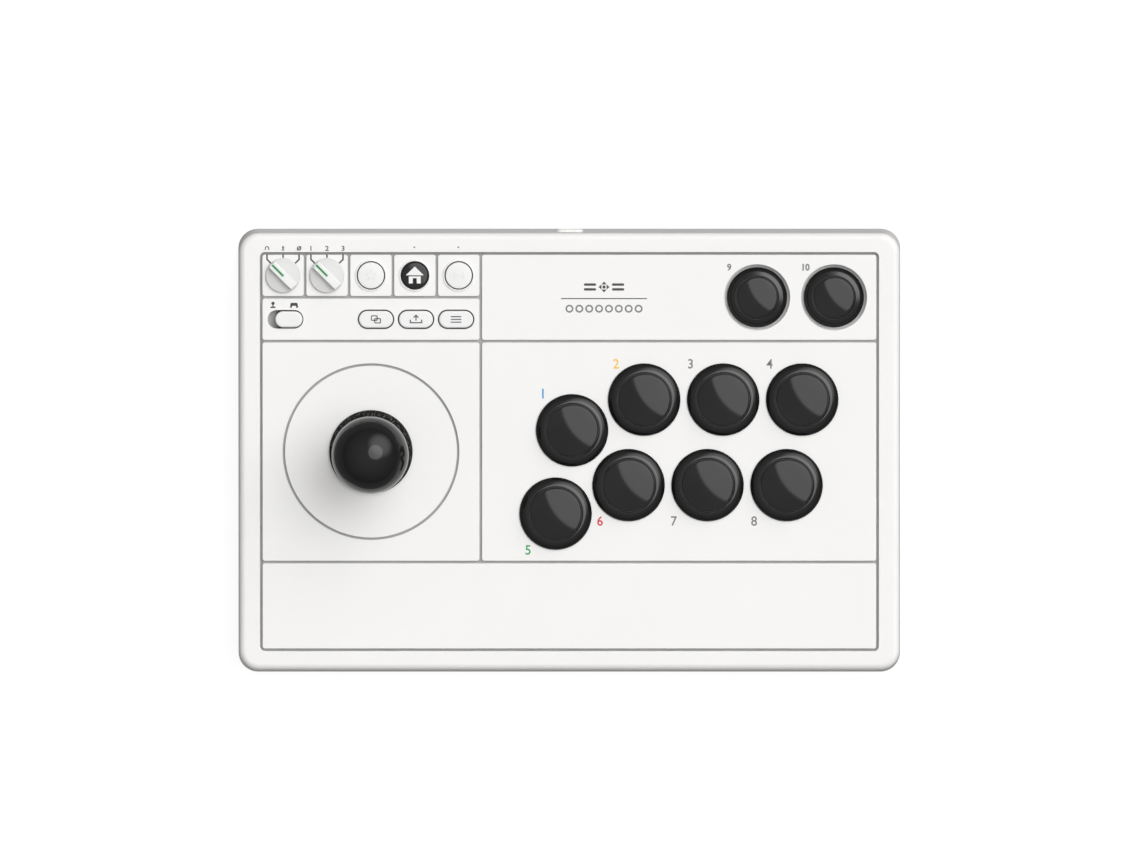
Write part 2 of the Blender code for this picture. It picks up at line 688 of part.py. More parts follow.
def grooves_across():
    """Two full grooves, the cells' groove, and the ring round the lever."""
    mesh = bmesh.new()
    ends = PLATE_X + OVERRUN
    for v, right in ((STRIP_V, ends), (-STRIP_V, ends), (JOINT_Y - CELL, CELLS_END)):
        span = right + ends
        centre = (right - span / 2, v)
        prism(mesh, rectangle(span, GROOVE_WIDTH, centre), -GROOVE_DEPTH, OVERRUN)
    inner = RING_GROOVE_RADIUS - RING_GROOVE_WIDTH / 2
    outer = RING_GROOVE_RADIUS + RING_GROOVE_WIDTH / 2
    profile = [(outer, OVERRUN), (outer, -GROOVE_DEPTH), (inner, -GROOVE_DEPTH), (inner, OVERRUN)]
    lathe(mesh, profile, 2 * ROUND, (LEVER_U, 0.0))
    return mesh


def grooves_along():
    """The groove beside the lever's field, and the short ones between the small fields."""
    mesh = bmesh.new()
    rear = PLATE_Y + OVERRUN
    runs = [(CELLS_END, -STRIP_V)]
    runs += [(CELL * i - JOINT_X, JOINT_Y - CELL) for i in range(1, CELL_COUNT)]
    for u, front in runs:
        outline = rectangle(GROOVE_WIDTH, rear - front, (u, (rear + front) / 2))
        prism(mesh, outline, -GROOVE_DEPTH, OVERRUN)
    return mesh


def add_base_plate():
    inset = CASE_WALL + GAP
    mesh = bmesh.new()
    prism(mesh, case_outline(FOOT_HEIGHT, inset), BASE_PLATE_BOTTOM, BASE_PLATE_TOP)
    plate = add_object("base_plate", mesh, "steel")
    holes = bmesh.new()
    for centre in BASE_POSTS:
        profile = [
            (0.0, BASE_PLATE_TOP + OVERRUN),
            (BASE_SCREW_RADIUS, BASE_PLATE_TOP + OVERRUN),
            (BASE_SCREW_RADIUS, BASE_PLATE_TOP - BASE_PLATE_THICKNESS / 4),
            (BASE_SCREW_HEAD, BASE_PLATE_BOTTOM),
            (BASE_SCREW_HEAD, BASE_PLATE_BOTTOM - OVERRUN),
            (0.0, BASE_PLATE_BOTTOM - OVERRUN),
        ]
        lathe(holes, profile, SMALL_ROUND, centre)
    combine(plate, "DIFFERENCE", "base_screw_holes", holes)


def add_foot_strips():
    for name, y in (("foot_front", BASE_FRONT + FOOT_INSET), ("foot_rear", BASE_REAR - FOOT_INSET)):
        mesh = bmesh.new()
        body = centred_box(FOOT_LENGTH, FOOT_WIDTH, FOOT_CORNER)
        slope = 2 * FOOT_BEVEL
        tread = centred_box(FOOT_LENGTH - slope, FOOT_WIDTH - slope, FOOT_CORNER - FOOT_BEVEL)
        loft(mesh, [at_height(tread, 0.0), at_height(body, FOOT_BEVEL), at_height(body, FOOT_HEIGHT)])
        add_object(name, mesh, "rubber", (0.0, y, 0.0))


# Lever


def add_lever(panel):
    """The stick under the faceplate. Its pieces are measured from the pivot."""
    pivot = add_empty("lever_pivot", (LEVER_U, 0.0, -PIVOT_DEPTH), panel)
    plate_top = PIVOT_DEPTH + PLATE_UNDERSIDE - MOUNT_BOSS_HEIGHT - GAP
    plate_bottom = plate_top - MOUNT_PLATE_THICKNESS
    housing_top = plate_bottom - GAP
    housing_bottom = housing_top - HOUSING_DEPTH
    board_top = housing_bottom - GAP
    board_bottom = board_top - BOARD_THICKNESS
    tray_top = board_bottom - GAP
    switch_bottom = board_bottom - LEVER_SWITCH_HEIGHT
    gate_top = switch_bottom - GAP
    gate_bottom = gate_top - GATE_THICKNESS

    add_mount_plate(pivot, plate_bottom, plate_top)
    add_lever_housing(pivot, housing_bottom, housing_top)
    add_lever_switch_board(pivot, board_bottom, board_top)
    add_gate(pivot, gate_bottom, gate_top, tray_top)
    add_moving_lever(pivot, board_top, gate_top)


def add_mount_plate(pivot, bottom, top):
    mesh = bmesh.new()
    outline = centred_box(MOUNT_PLATE_LENGTH, MOUNT_PLATE_WIDTH, MOUNT_PLATE_CORNER)
    hole = circle(LEVER_HOLE_RADIUS, 4 * CORNER)
    loops = [at_height(outline, bottom), at_height(outline, top)]
    loops += [at_height(hole, top), at_height(hole, bottom)]
    loft(mesh, loops, ring=True)
    plate = add_object("lever_mount_plate", mesh, "steel", parent=pivot)
    holes = bmesh.new()
    for u, v in MOUNT_BOSSES:
        centre = (u - LEVER_U, v)
        prism(holes, circle(BASE_SCREW_RADIUS, TINY_ROUND, centre), bottom - OVERRUN, top + OVERRUN)
    combine(plate, "DIFFERENCE", "mount_plate_holes", holes)


def housing_outline(outset=0.0, radius=HOUSING_CORNER):
    """The lever housing's outline, drawn out or, with a minus sign, in."""
    return centred_box(HOUSING_LENGTH + 2 * outset, HOUSING_WIDTH + 2 * outset, radius)


def add_lever_housing(pivot, bottom, top):
    """A box open below, with a spherical socket for the pivot ball in its thick top."""
    ceiling = top - HOUSING_TOP
    flange_bottom = top - HOUSING_TOP / 2
    outer = housing_outline()
    flange = housing_outline(HOUSING_FLANGE, HOUSING_CORNER + HOUSING_FLANGE)
    inner = housing_outline(-HOUSING_WALL, HOUSING_INSIDE_CORNER)
    loops = [at_height(outer, bottom), at_height(outer, flange_bottom)]
    loops += [at_height(flange, flange_bottom), at_height(flange, top)]
    for radius, z in reversed(sphere_arc(PIVOT_BALL_RADIUS + GAP, ceiling, top, ARC_STEPS)):
        loops.append(at_height(circle(radius, 4 * CORNER), z))
    loops += [at_height(inner, ceiling), at_height(inner, bottom)]
    mesh = bmesh.new()
    loft(mesh, loops, ring=True)
    add_object("lever_housing", mesh, "black_plastic", parent=pivot)


def lever_swing(depth, half_width):
    """How far from the axis a piece of this half width reaches when its end is `depth` below the pivot."""
    return depth * math.sin(LEVER_THROW) + half_width * math.cos(LEVER_THROW)


def add_lever_switch_board(pivot, bottom, top):
    """A ring-shaped board with four switches round the actuator."""
    mesh = bmesh.new()
    outline = housing_outline()
    hole = circle(SWITCH_BOARD_HOLE, 4 * CORNER)
    loops = [at_height(outline, bottom), at_height(outline, top)]
    loops += [at_height(hole, top), at_height(hole, bottom)]
    loft(mesh, loops, ring=True)
    board = add_object("lever_switch_board", mesh, "circuit_board", parent=pivot)
    switches = bmesh.new()
    face = lever_swing(-bottom + LEVER_SWITCH_HEIGHT, ACTUATOR_RADIUS) + GAP
    middle = face + LEVER_SWITCH_WIDTH / 2
    for side in (-1, 1):
        across = rectangle(LEVER_SWITCH_WIDTH, LEVER_SWITCH_LENGTH, (side * middle, 0.0))
        along = rectangle(LEVER_SWITCH_LENGTH, LEVER_SWITCH_WIDTH, (0.0, side * middle))
        for outline in (across, along):
            prism(switches, outline, bottom - LEVER_SWITCH_HEIGHT, bottom + BITE)
    combine(board, "UNION", "lever_switches", switches)


def skirt_radius():
    return SHAFT_RADIUS + GAP + ACTUATOR_SKIRT


def add_gate(pivot, bottom, top, rim_top):
    """A tray that closes the housing, with the square hole that limits the lever."""
    hole_half = lever_swing(-bottom, skirt_radius()) + GATE_CLEARANCE
    outer = housing_outline()
    inner = housing_outline(-HOUSING_WALL, HOUSING_INSIDE_CORNER)
    hole = centred_box(2 * hole_half, 2 * hole_half, HOUSING_INSIDE_CORNER)
    loops = [at_height(outer, bottom), at_height(outer, rim_top), at_height(inner, rim_top)]
    loops += [at_height(inner, top), at_height(hole, top), at_height(hole, bottom)]
    mesh = bmesh.new()
    loft(mesh, loops, ring=True)
    add_object("lever_gate", mesh, "black_plastic", parent=pivot)


def add_moving_lever(pivot, board_top, gate_top):
    """Pivot ball, spring and seat, actuator, clip, shaft and ball top, all on the lever's axis."""
    bore = SHAFT_RADIUS + GAP
    end = -SHAFT_BELOW
    clip_bottom = end + E_CLIP_INSET
    clip_top = clip_bottom + E_CLIP_THICKNESS
    skirt_bottom = clip_top + GAP
    actuator_bottom = gate_top + (ACTUATOR_RADIUS + GAP) * math.sin(CORNER_THROW)
    actuator_top = board_top + GAP
    ball_bottom = PIVOT_DEPTH + BALL_HEIGHT - BALL_RADIUS + BALL_FLAT
    shoulder = ball_bottom - GAP

    # The ball tilts front to back only, so its bore flares to let the shaft tilt left to right.
    flare = lever_swing(PIVOT_BALL_HALF, SHAFT_RADIUS) + GAP
    mesh = bmesh.new()
    arc = sphere_arc(PIVOT_BALL_RADIUS, -PIVOT_BALL_HALF, PIVOT_BALL_HALF, 2 * ARC_STEPS)
    lathe(mesh, arc + [(flare, PIVOT_BALL_HALF), (bore, 0.0), (flare, -PIVOT_BALL_HALF)])
    add_object("lever_pivot_ball", mesh, "acetal", parent=pivot)

    # The spring's seat is a cup under the ball, so that either can tilt in the other.
    cup = PIVOT_BALL_RADIUS + GAP
    seat_radius = SPRING_RADIUS + SEAT_LIP
    cup_low = -math.sqrt(cup**2 - bore**2)
    cup_high = -math.sqrt(cup**2 - seat_radius**2)
    seat_bottom = cup_low - SEAT_THICKNESS
    mesh = bmesh.new()
    arc = sphere_arc(cup, cup_low, cup_high, ARC_STEPS)
    lathe(mesh, arc + [(seat_radius, seat_bottom), (bore, seat_bottom)])
    add_object("lever_spring_seat", mesh, "acetal", parent=pivot)

    mesh = bmesh.new()
    add_spring(mesh, actuator_top + GAP + SPRING_WIRE, seat_bottom - GAP - SPRING_WIRE)
    add_object("lever_spring", mesh, "steel", parent=pivot)

    mesh = bmesh.new()
    skirt = skirt_radius()
    profile = [(bore, actuator_top), (bore, skirt_bottom), (skirt, skirt_bottom), (skirt, actuator_bottom)]
    lathe(mesh, profile + [(ACTUATOR_RADIUS, actuator_bottom), (ACTUATOR_RADIUS, actuator_top)])
    add_object("lever_actuator", mesh, "black_plastic", parent=pivot)

    groove = SHAFT_RADIUS - E_CLIP_GROOVE
    mesh = bmesh.new()
    prism(mesh, clip_outline(groove + GAP, E_CLIP_RADIUS), clip_bottom, clip_top)
    add_object("lever_e_clip", mesh, "steel", parent=pivot)

    tip = shoulder + SHAFT_TIP_LENGTH
    profile = [
        (0.0, end),
        (SHAFT_RADIUS, end),
        (SHAFT_RADIUS, clip_bottom - GAP),
        (groove, clip_bottom - GAP),
        (groove, clip_top + GAP),
        (SHAFT_RADIUS, clip_top + GAP),
        (SHAFT_RADIUS, shoulder),
        (SHAFT_TIP_RADIUS, shoulder),
        (SHAFT_TIP_RADIUS, tip),
        (0.0, tip),
    ]
    mesh = bmesh.new()
    lathe(mesh, profile)
    add_object("lever_shaft", mesh, "chrome", parent=pivot)

    middle = PIVOT_DEPTH + BALL_HEIGHT
    socket = SHAFT_TIP_RADIUS + GAP
    profile = sphere_arc(BALL_RADIUS, ball_bottom - middle, BALL_RADIUS, 3 * ARC_STEPS, middle)
    profile[-1] = (0.0, middle + BALL_RADIUS)
    profile += [(0.0, tip + GAP), (socket, tip + GAP), (socket, ball_bottom)]
    mesh = bmesh.new()
    lathe(mesh, profile, 2 * SMALL_ROUND)
    add_object("ball_top", mesh, "black_gloss_plastic", parent=pivot)


def clip_outline(inner, outer):
    """A ring with a gap, as an outline."""
    steps = SMALL_ROUND
    start = E_CLIP_OPENING / 2
    sweep = 2 * math.pi - E_CLIP_OPENING
    outline = []
    for radius, order in ((outer, range(steps + 1)), (inner, range(steps, -1, -1))):
        for i in order:
            angle = start + sweep * i / steps
            outline.append((radius * math.cos(angle), radius * math.sin(angle)))
    return outline


def add_spring(mesh, bottom, top):
    """A coil of round wire."""
    per_turn = SMALL_ROUND
    steps = SPRING_TURNS * per_turn
    rise = (top - bottom) / steps
    loops = []
    for i in range(steps + 1):
        turn = 2 * math.pi * i / per_turn
        out = Vector((math.cos(turn), math.sin(turn), 0.0))
        middle = out * SPRING_RADIUS + Vector((0.0, 0.0, bottom + rise * i))
        loops.append(
            [
                middle + out * SPRING_WIRE * math.cos(a) + Vector((0.0, 0.0, SPRING_WIRE * math.sin(a)))
                for a in (2 * math.pi * k / SPRING_FACETS for k in range(SPRING_FACETS))
            ]
        )
    loft(mesh, loops)


def add_dust_washer(panel):
    """A disc that lies on the faceplate and slides with the shaft, with room for the front-to-back throw."""
    height = PIVOT_DEPTH + GAP + WASHER_THICKNESS
    bore = lever_swing(height, SHAFT_RADIUS) + GAP
    mesh = bmesh.new()
    profile = [
        (WASHER_RADIUS - WASHER_BEVEL, WASHER_THICKNESS),
        (WASHER_RADIUS, WASHER_THICKNESS / 2),
        (WASHER_RADIUS, 0.0),
        (bore, 0.0),
        (bore, WASHER_THICKNESS),
    ]
    lathe(mesh, profile, 2 * SMALL_ROUND)
    add_object("dust_washer", mesh, "dark_washer", (LEVER_U, 0.0, GAP), panel)


# Push buttons


def add_push_button(name, size, panel, place, seat):
    """Housing, plunger and microswitch of one button, measured from the panel's top at `seat`."""
    inner = size.barrel_radius - size.barrel_wall
    flange = inner - GAP
    plunger = flange - size.flange_lip
    rim = size.barrel_radius + size.rim_lip
    rim_bottom = seat + GAP
    rim_top = rim_bottom + size.rim_height
    retainer = seat - BUTTON_RETAINER
    bottom = seat - size.barrel_depth
    floor = bottom + BUTTON_FLOOR
    where = (place[0], place[1], 0.0)

    mesh = bmesh.new()
    profile = [
        (0.0, floor),
        (0.0, bottom),
        (size.barrel_radius, bottom),
        (size.barrel_radius, rim_bottom),
        (rim, rim_bottom),
        (rim, rim_bottom + size.rim_height * RIM_SHOULDER),
        (rim - size.rim_height * RIM_SLOPE, rim_top),
        (plunger + GAP + RIM_MOUTH, rim_top),
        (plunger + GAP, rim_top - RIM_MOUTH_DEPTH),
        (plunger + GAP, retainer),
        (inner, retainer),
        (inner, floor),
    ]
    lathe(mesh, profile)
    add_object(f"{name}_housing", mesh, "black_gloss_plastic", where, panel)

    mesh = bmesh.new()
    flange_top = retainer - GAP
    flange_bottom = flange_top - BUTTON_FLANGE
    crown = rim_top + size.crown
    cap_inside = plunger - BUTTON_CAP_WALL
    profile = [
        (0.0, crown),
        (plunger * CROWN_SHARE, crown - CROWN_DROP),
        (plunger, rim_top + CROWN_DROP),
        (plunger, flange_top),
        (flange, flange_top),
        (flange, flange_bottom),
        (cap_inside, flange_bottom),
        (cap_inside, rim_top - BUTTON_CAP_WALL),
        (BUTTON_STEM_RADIUS, rim_top - BUTTON_CAP_WALL),
        (BUTTON_STEM_RADIUS, flange_bottom - BUTTON_STEM_REACH),
        (0.0, flange_bottom - BUTTON_STEM_REACH),
    ]
    lathe(mesh, profile)
    add_object(f"{name}_plunger", mesh, "black_gloss_plastic", where, panel)

    mesh = bmesh.new()
    body = rectangle(MICROSWITCH_LENGTH, MICROSWITCH_WIDTH)
    key = rectangle(MICROSWITCH_KEY_LENGTH, MICROSWITCH_KEY_WIDTH)
    low = floor + GAP
    high = low + MICROSWITCH_HEIGHT
    loops = [at_height(body, low), at_height(body, high)]
    loops += [at_height(key, high), at_height(key, high + MICROSWITCH_KEY_RISE)]
    loft(mesh, loops)
    add_object(f"{name}_switch", mesh, "black_plastic", where, panel, smooth=False)


# Keys, dials and the slide switch


def key_levels():
    """Heights shared by every key: cap top, flange top, flange bottom, stem bottom."""
    flange_top = PLATE_UNDERSIDE - GAP
    flange_bottom = flange_top - KEY_FLANGE
    return KEY_RISE, flange_top, flange_bottom, flange_bottom - KEY_STEM


def add_round_key(name, place, panel):
    top, flange_top, flange_bottom, stem_bottom = key_levels()
    flange = ROUND_KEY_RADIUS + KEY_FLANGE_LIP
    stem = ROUND_KEY_RADIUS / 3
    profile = [
        (0.0, top),
        (ROUND_KEY_RADIUS - KEY_BEVEL, top),
        (ROUND_KEY_RADIUS, top - KEY_BEVEL),
        (ROUND_KEY_RADIUS, flange_top),
        (flange, flange_top),
        (flange, flange_bottom),
        (stem, flange_bottom),
        (stem, stem_bottom),
        (0.0, stem_bottom),
    ]
    mesh = bmesh.new()
    lathe(mesh, profile, SMALL_ROUND)
    colour = "black_gloss_plastic" if name == "home_key" else "key_plastic"
    add_object(name, mesh, colour, (place[0], place[1], 0.0), panel)


def add_pill_key(name, place, panel):
    top, flange_top, flange_bottom, stem_bottom = key_levels()
    cap = pill(PILL_LENGTH, PILL_WIDTH)
    edge = pill(PILL_LENGTH - 2 * KEY_BEVEL, PILL_WIDTH - 2 * KEY_BEVEL)
    lip = 2 * (PILL_CLEARANCE + KEY_FLANGE_LIP)
    flange = pill(PILL_LENGTH + lip, PILL_WIDTH + lip)
    stem = pill(PILL_LENGTH / 3, PILL_WIDTH / 3)
    loops = [
        at_height(stem, stem_bottom),
        at_height(stem, flange_bottom),
        at_height(flange, flange_bottom),
        at_height(flange, flange_top),
        at_height(cap, flange_top),
        at_height(cap, top - KEY_BEVEL),
        at_height(edge, top),
    ]
    mesh = bmesh.new()
    loft(mesh, loops)
    add_object(name, mesh, "key_plastic", (place[0], place[1], 0.0), panel)


def add_dial(name, place, panel):
    """A disc with a raised grip bar across it, on a spindle. It rests pointing to the rear left."""
    mesh = bmesh.new()
    spindle_end = key_levels()[3]
    profile = [
        (0.0, DIAL_DISC),
        (DIAL_RADIUS, DIAL_DISC),
        (DIAL_RADIUS, GAP),
        (DIAL_SPINDLE, GAP),
        (DIAL_SPINDLE, spindle_end),
        (0.0, spindle_end),
    ]
    lathe(mesh, profile)
    dial = add_object(name, mesh, "white_plastic", (place[0], place[1], 0.0), panel)
    dial.rotation_euler.z = DIAL_REST_ANGLE
    bar = bmesh.new()
    length = 2 * (math.sqrt(DIAL_RADIUS**2 - (DIAL_BAR_WIDTH / 2) ** 2) - DIAL_BAR_END)
    prism(bar, rectangle(length, DIAL_BAR_WIDTH), DIAL_DISC - BITE, DIAL_DISC + DIAL_BAR_HEIGHT)
    combine(dial, "UNION", f"{name}_bar", bar)
    bpy.data.objects[f"{name}_bar"].rotation_euler.z = DIAL_REST_ANGLE


def add_slide_knob(panel):
    """The knob rests at the right end of its slot."""
    _, flange_top, flange_bottom, stem_bottom = key_levels()
    cap = pill(SLIDER_LENGTH, SLIDER_WIDTH)
    edge = pill(SLIDER_LENGTH - 2 * SLIDER_BEVEL, SLIDER_WIDTH - 2 * SLIDER_BEVEL)
    flange = pill(SLIDER_LENGTH, SLIDER_WIDTH + 2 * SLIDER_FLANGE_LIP)
    stem = pill(SLIDER_LENGTH / 3, SLIDER_WIDTH / 3)
    loops = [
        at_height(stem, stem_bottom),
        at_height(stem, flange_bottom),
        at_height(flange, flange_bottom),
        at_height(flange, flange_top),
        at_height(cap, flange_top),
        at_height(cap, SLIDER_RISE - SLIDER_BEVEL),
        at_height(edge, SLIDER_RISE),
    ]
    mesh = bmesh.new()
    loft(mesh, loops)
    where = (SLIDER_PLACE[0] + SLIDER_TRAVEL / 2, SLIDER_PLACE[1], 0.0)
    add_object("slide_switch_knob", mesh, "key_plastic", where, panel)


# Electronics


def add_control_board(panel):
    """The board under the rear left strip, with a switch below each key, dial and the slider."""
    top = -CONTROL_BOARD_DROP
    switch_top = key_levels()[3] - KEY_TRAVEL - GAP
    u, v = CONTROL_BOARD_PLACE
    mesh = bmesh.new()
    prism(mesh, rectangle(CONTROL_BOARD_WIDTH, CONTROL_BOARD_DEPTH, (u, v)), top - BOARD_THICKNESS, top)
    board = add_object("control_board", mesh, "circuit_board", parent=panel, smooth=False)
    switches = bmesh.new()
    keys = list(ROUND_KEY_PLACES.values()) + list(PILL_PLACES.values()) + list(DIAL_PLACES.values())
    for centre in keys:
        prism(switches, rectangle(TACT_SWITCH_SIDE, TACT_SWITCH_SIDE, centre), top - BITE, switch_top)
    length = SLIDER_LENGTH / 3 + SLIDER_TRAVEL + SLIDE_SWITCH_MARGIN
    prism(switches, rectangle(length, TACT_SWITCH_SIDE, SLIDER_PLACE), top - BITE, switch_top)
    combine(board, "UNION", "control_switches", switches)


def add_main_board(panel):
    """The board behind the USB port, with its processor and radio can."""
    top = -MAIN_BOARD_DROP
    mesh = bmesh.new()
    outline = rectangle(MAIN_BOARD_WIDTH, MAIN_BOARD_DEPTH, (0.0, MAIN_BOARD_V))
    prism(mesh, outline, top - BOARD_THICKNESS, top)
    board = add_object("main_board", mesh, "circuit_board", parent=panel, smooth=False)
    chips = bmesh.new()
    processor = rectangle(PROCESSOR_SIDE, PROCESSOR_SIDE, (-CHIP_OFFSET, MAIN_BOARD_V))
    prism(chips, processor, top - BITE, top + PROCESSOR_HEIGHT)
    radio_can = rectangle(RADIO_CAN_LENGTH, RADIO_CAN_WIDTH, (CHIP_OFFSET, MAIN_BOARD_V))
    prism(chips, radio_can, top - BITE, top + RADIO_CAN_HEIGHT)
    combine(board, "UNION", "main_board_chips", chips)


def add_usb_port():
    """A USB-C receptacle: a pill-shaped tube, closed at its inner end, with a tongue."""
    mouth = BASE_REAR - REAR_DRAFT * draft_share(USB_LEVEL) + BEZEL_RISE - USB_RECESS
    shell = pill(USB_WIDTH, USB_HEIGHT)
    width = USB_WIDTH - 2 * USB_WALL
    height = USB_HEIGHT - 2 * USB_WALL
    bore = pill(width, height)
    tongue = pill(width - 2 * USB_TONGUE_SIDE_GAP, height - 2 * USB_TONGUE_FACE_GAP)
    floor = USB_LENGTH - USB_FLOOR
    loops = [at_height(shell, USB_LENGTH), at_height(shell, 0.0)]
    loops += [at_height(bore, 0.0), at_height(bore, floor)]
    loops += [at_height(tongue, floor), at_height(tongue, USB_RECESS)]
    mesh = bmesh.new()
    loft(mesh, loops)
    mesh.transform(Matrix.Rotation(math.pi / 2, 4, "X"))
    add_object("usb_port", mesh, "steel", (0.0, mouth, USB_LEVEL))


def add_battery():
    mesh = bmesh.new()
    outline = centred_box(BATTERY_LENGTH, BATTERY_WIDTH, BATTERY_CORNER, SHARP_CORNER)
    prism(mesh, outline, BASE_PLATE_TOP + GAP, BASE_PLATE_TOP + GAP + BATTERY_HEIGHT)
    add_object("battery", mesh, "battery_wrap", (BATTERY_PLACE[0], BATTERY_PLACE[1], 0.0))


def main():
    clear_scene()
    panel = add_empty("panel_centre", (0.0, PANEL_Y, PANEL_HEIGHT))
    add_top_shell()
    add_faceplate(panel)
    add_base_plate()
    add_foot_strips()
    add_lever(panel)
    add_dust_washer(panel)
    for row, place in large_button_places().items():
        add_push_button(f"button_{row}", LARGE_BUTTON, panel, place, 0.0)
    for index, place in small_button_places().items():
        add_push_button(f"button_small_{index}", SMALL_BUTTON, panel, place, -WELL_DEPTH)
    for name, place in ROUND_KEY_PLACES.items():
        add_round_key(name, place, panel)
    for name, place in PILL_PLACES.items():
        add_pill_key(name, place, panel)
    for name, place in DIAL_PLACES.items():
        add_dial(name, place, panel)
    add_slide_knob(panel)
    add_control_board(panel)
    add_main_board(panel)
    add_usb_port()
    add_battery()


main()
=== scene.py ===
import math

import bmesh
import bpy
from mathutils import Matrix, Vector


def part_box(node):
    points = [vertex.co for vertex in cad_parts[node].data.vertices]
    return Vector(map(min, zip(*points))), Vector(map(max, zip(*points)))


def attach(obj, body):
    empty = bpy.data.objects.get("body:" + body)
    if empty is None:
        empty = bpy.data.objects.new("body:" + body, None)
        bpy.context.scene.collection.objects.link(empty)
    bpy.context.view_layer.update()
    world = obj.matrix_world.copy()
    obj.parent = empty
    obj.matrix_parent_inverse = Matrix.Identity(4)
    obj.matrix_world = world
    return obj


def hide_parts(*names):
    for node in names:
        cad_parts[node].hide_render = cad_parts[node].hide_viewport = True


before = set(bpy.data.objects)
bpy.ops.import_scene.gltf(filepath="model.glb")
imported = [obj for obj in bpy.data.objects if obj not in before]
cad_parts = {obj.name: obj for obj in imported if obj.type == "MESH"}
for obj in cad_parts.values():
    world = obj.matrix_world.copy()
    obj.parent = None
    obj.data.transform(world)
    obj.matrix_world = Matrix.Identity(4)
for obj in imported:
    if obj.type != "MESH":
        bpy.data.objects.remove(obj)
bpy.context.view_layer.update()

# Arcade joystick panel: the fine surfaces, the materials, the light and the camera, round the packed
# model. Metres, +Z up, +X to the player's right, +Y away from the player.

MM = 0.001

# Fits and walls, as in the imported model
GAP = 0.3 * MM
BITE = 0.6 * MM
OVERRUN = 1.0 * MM
WALL = 2.5 * MM
CASE_CORNER = 9.0 * MM
SIDE_DRAFT = 1.0 * MM
REAR_DRAFT = 0.65 * MM
FRONT_DRAFT = 2.95 * MM
TOP_FILLET = 3.0 * MM
PLATE_JOINT = 1.2 * MM
PLATE_CORNER = 1.1 * MM
PLATE_THICKNESS = 3.0 * MM
LEDGE_BEARING = 2.4 * MM
LEDGE_THICKNESS = 2.5 * MM
SOFT_EDGE = 0.22 * MM  # rounding of moulded edges

# Fields of the faceplate
STRIP_DEPTH = 40.0 * MM
CELL = 20.0 * MM
CELL_COUNT = 5
GROOVE_WIDTH = 1.15 * MM
GROOVE_DEPTH = 1.3 * MM
RING_GROOVE_RADIUS = 39.7 * MM
RING_GROOVE_WIDTH = 1.1 * MM

# Facets
ROUND = 96
FINE_ROUND = 160
CORNER_STEPS = 12
ARC = 6


# The frame's own places


def middle(node):
    low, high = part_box(node)
    return (low + high) / 2


def top(node):
    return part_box(node)[1].z


def bottom(node):
    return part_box(node)[0].z


def half_width(node):
    low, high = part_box(node)
    return (high.x - low.x) / 2


SHELL_LOW, SHELL_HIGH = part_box("top_shell")
PLATE_LOW, PLATE_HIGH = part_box("faceplate")
PANEL = SHELL_HIGH.z
PANEL_Y = (PLATE_LOW.y + PLATE_HIGH.y) / 2
PLATE_X = PLATE_HIGH.x
PLATE_Y = (PLATE_HIGH.y - PLATE_LOW.y) / 2
PLATE_BOTTOM = PANEL - PLATE_THICKNESS
JOINT_X = PLATE_X + PLATE_JOINT / 2
JOINT_Y = PLATE_Y + PLATE_JOINT / 2
STRIP_V = JOINT_Y - STRIP_DEPTH
CELLS_END = CELL * CELL_COUNT - JOINT_X
CASE_TOP = PANEL - TOP_FILLET
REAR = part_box("base_plate")[1].y + WALL + GAP
HOUSINGS = [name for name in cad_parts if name.startswith("button") and name.endswith("_housing")]
BUTTONS = sorted(name.removesuffix("_housing") for name in HOUSINGS)
LARGE_BUTTONS = [name for name in BUTTONS if "small" not in name]
SMALL_BUTTONS = [name for name in BUTTONS if "small" in name]
ROUND_KEYS = ("star_key", "home_key", "pair_key")
PILL_KEYS = ("view_key", "share_key", "menu_key")
DIALS = ("dial_left", "dial_right")


# Outlines: lists of (x, y), counterclockwise


def around(x, y, radius, angles):
    """The points of a circle about (x, y) at the given angles."""
    return [(x + radius * math.cos(angle), y + radius * math.sin(angle)) for angle in angles]


def arc(x, y, radius, start, sweep, steps):
    """The points of an arc, both ends included."""
    return around(x, y, radius, [start + sweep * i / steps for i in range(steps + 1)])


def circle(radius, points=ROUND, centre=(0.0, 0.0)):
    step = 2 * math.pi / points
    return around(centre[0], centre[1], radius, [i * step for i in range(points)])


def box_outline(x0, x1, y0, y1, radius, steps=CORNER_STEPS):
    left, right = x0 + radius, x1 - radius
    front, rear = y0 + radius, y1 - radius
    outline = []
    for quarter, (x, y) in enumerate(((right, rear), (left, rear), (left, front), (right, front))):
        outline += around(x, y, radius, [(quarter + i / steps) * math.pi / 2 for i in range(steps + 1)])
    return outline


def centred_box(length, width, radius, centre=(0.0, 0.0), steps=CORNER_STEPS):
    x, y = centre[0], centre[1]
    return box_outline(x - length / 2, x + length / 2, y - width / 2, y + width / 2, radius, steps)


def pill(length, width, centre=(0.0, 0.0)):
    """Two half circles joined by straight sides, a hair short of touching."""
    return centred_box(length, width, width / 2 * 0.999, centre)


def pill_at(length, width, centre=(0.0, 0.0)):
    """A function that gives a pill moved outwards by a distance."""
    return lambda out: pill(length + 2 * out, width + 2 * out, centre)


def case_outline(z, inset=0.0):
    lean = (min(z, CASE_TOP) - SHELL_LOW.z) / (CASE_TOP - SHELL_LOW.z)
    x = SHELL_HIGH.x - SIDE_DRAFT * lean - inset
    front = SHELL_LOW.y + FRONT_DRAFT * lean + inset
    rear = REAR - REAR_DRAFT * lean - inset
    return box_outline(-x, x, front, rear, CASE_CORNER - inset)


def panel_box(half_x, half_y, radius):
    return box_outline(-half_x, half_x, PANEL_Y - half_y, PANEL_Y + half_y, radius)


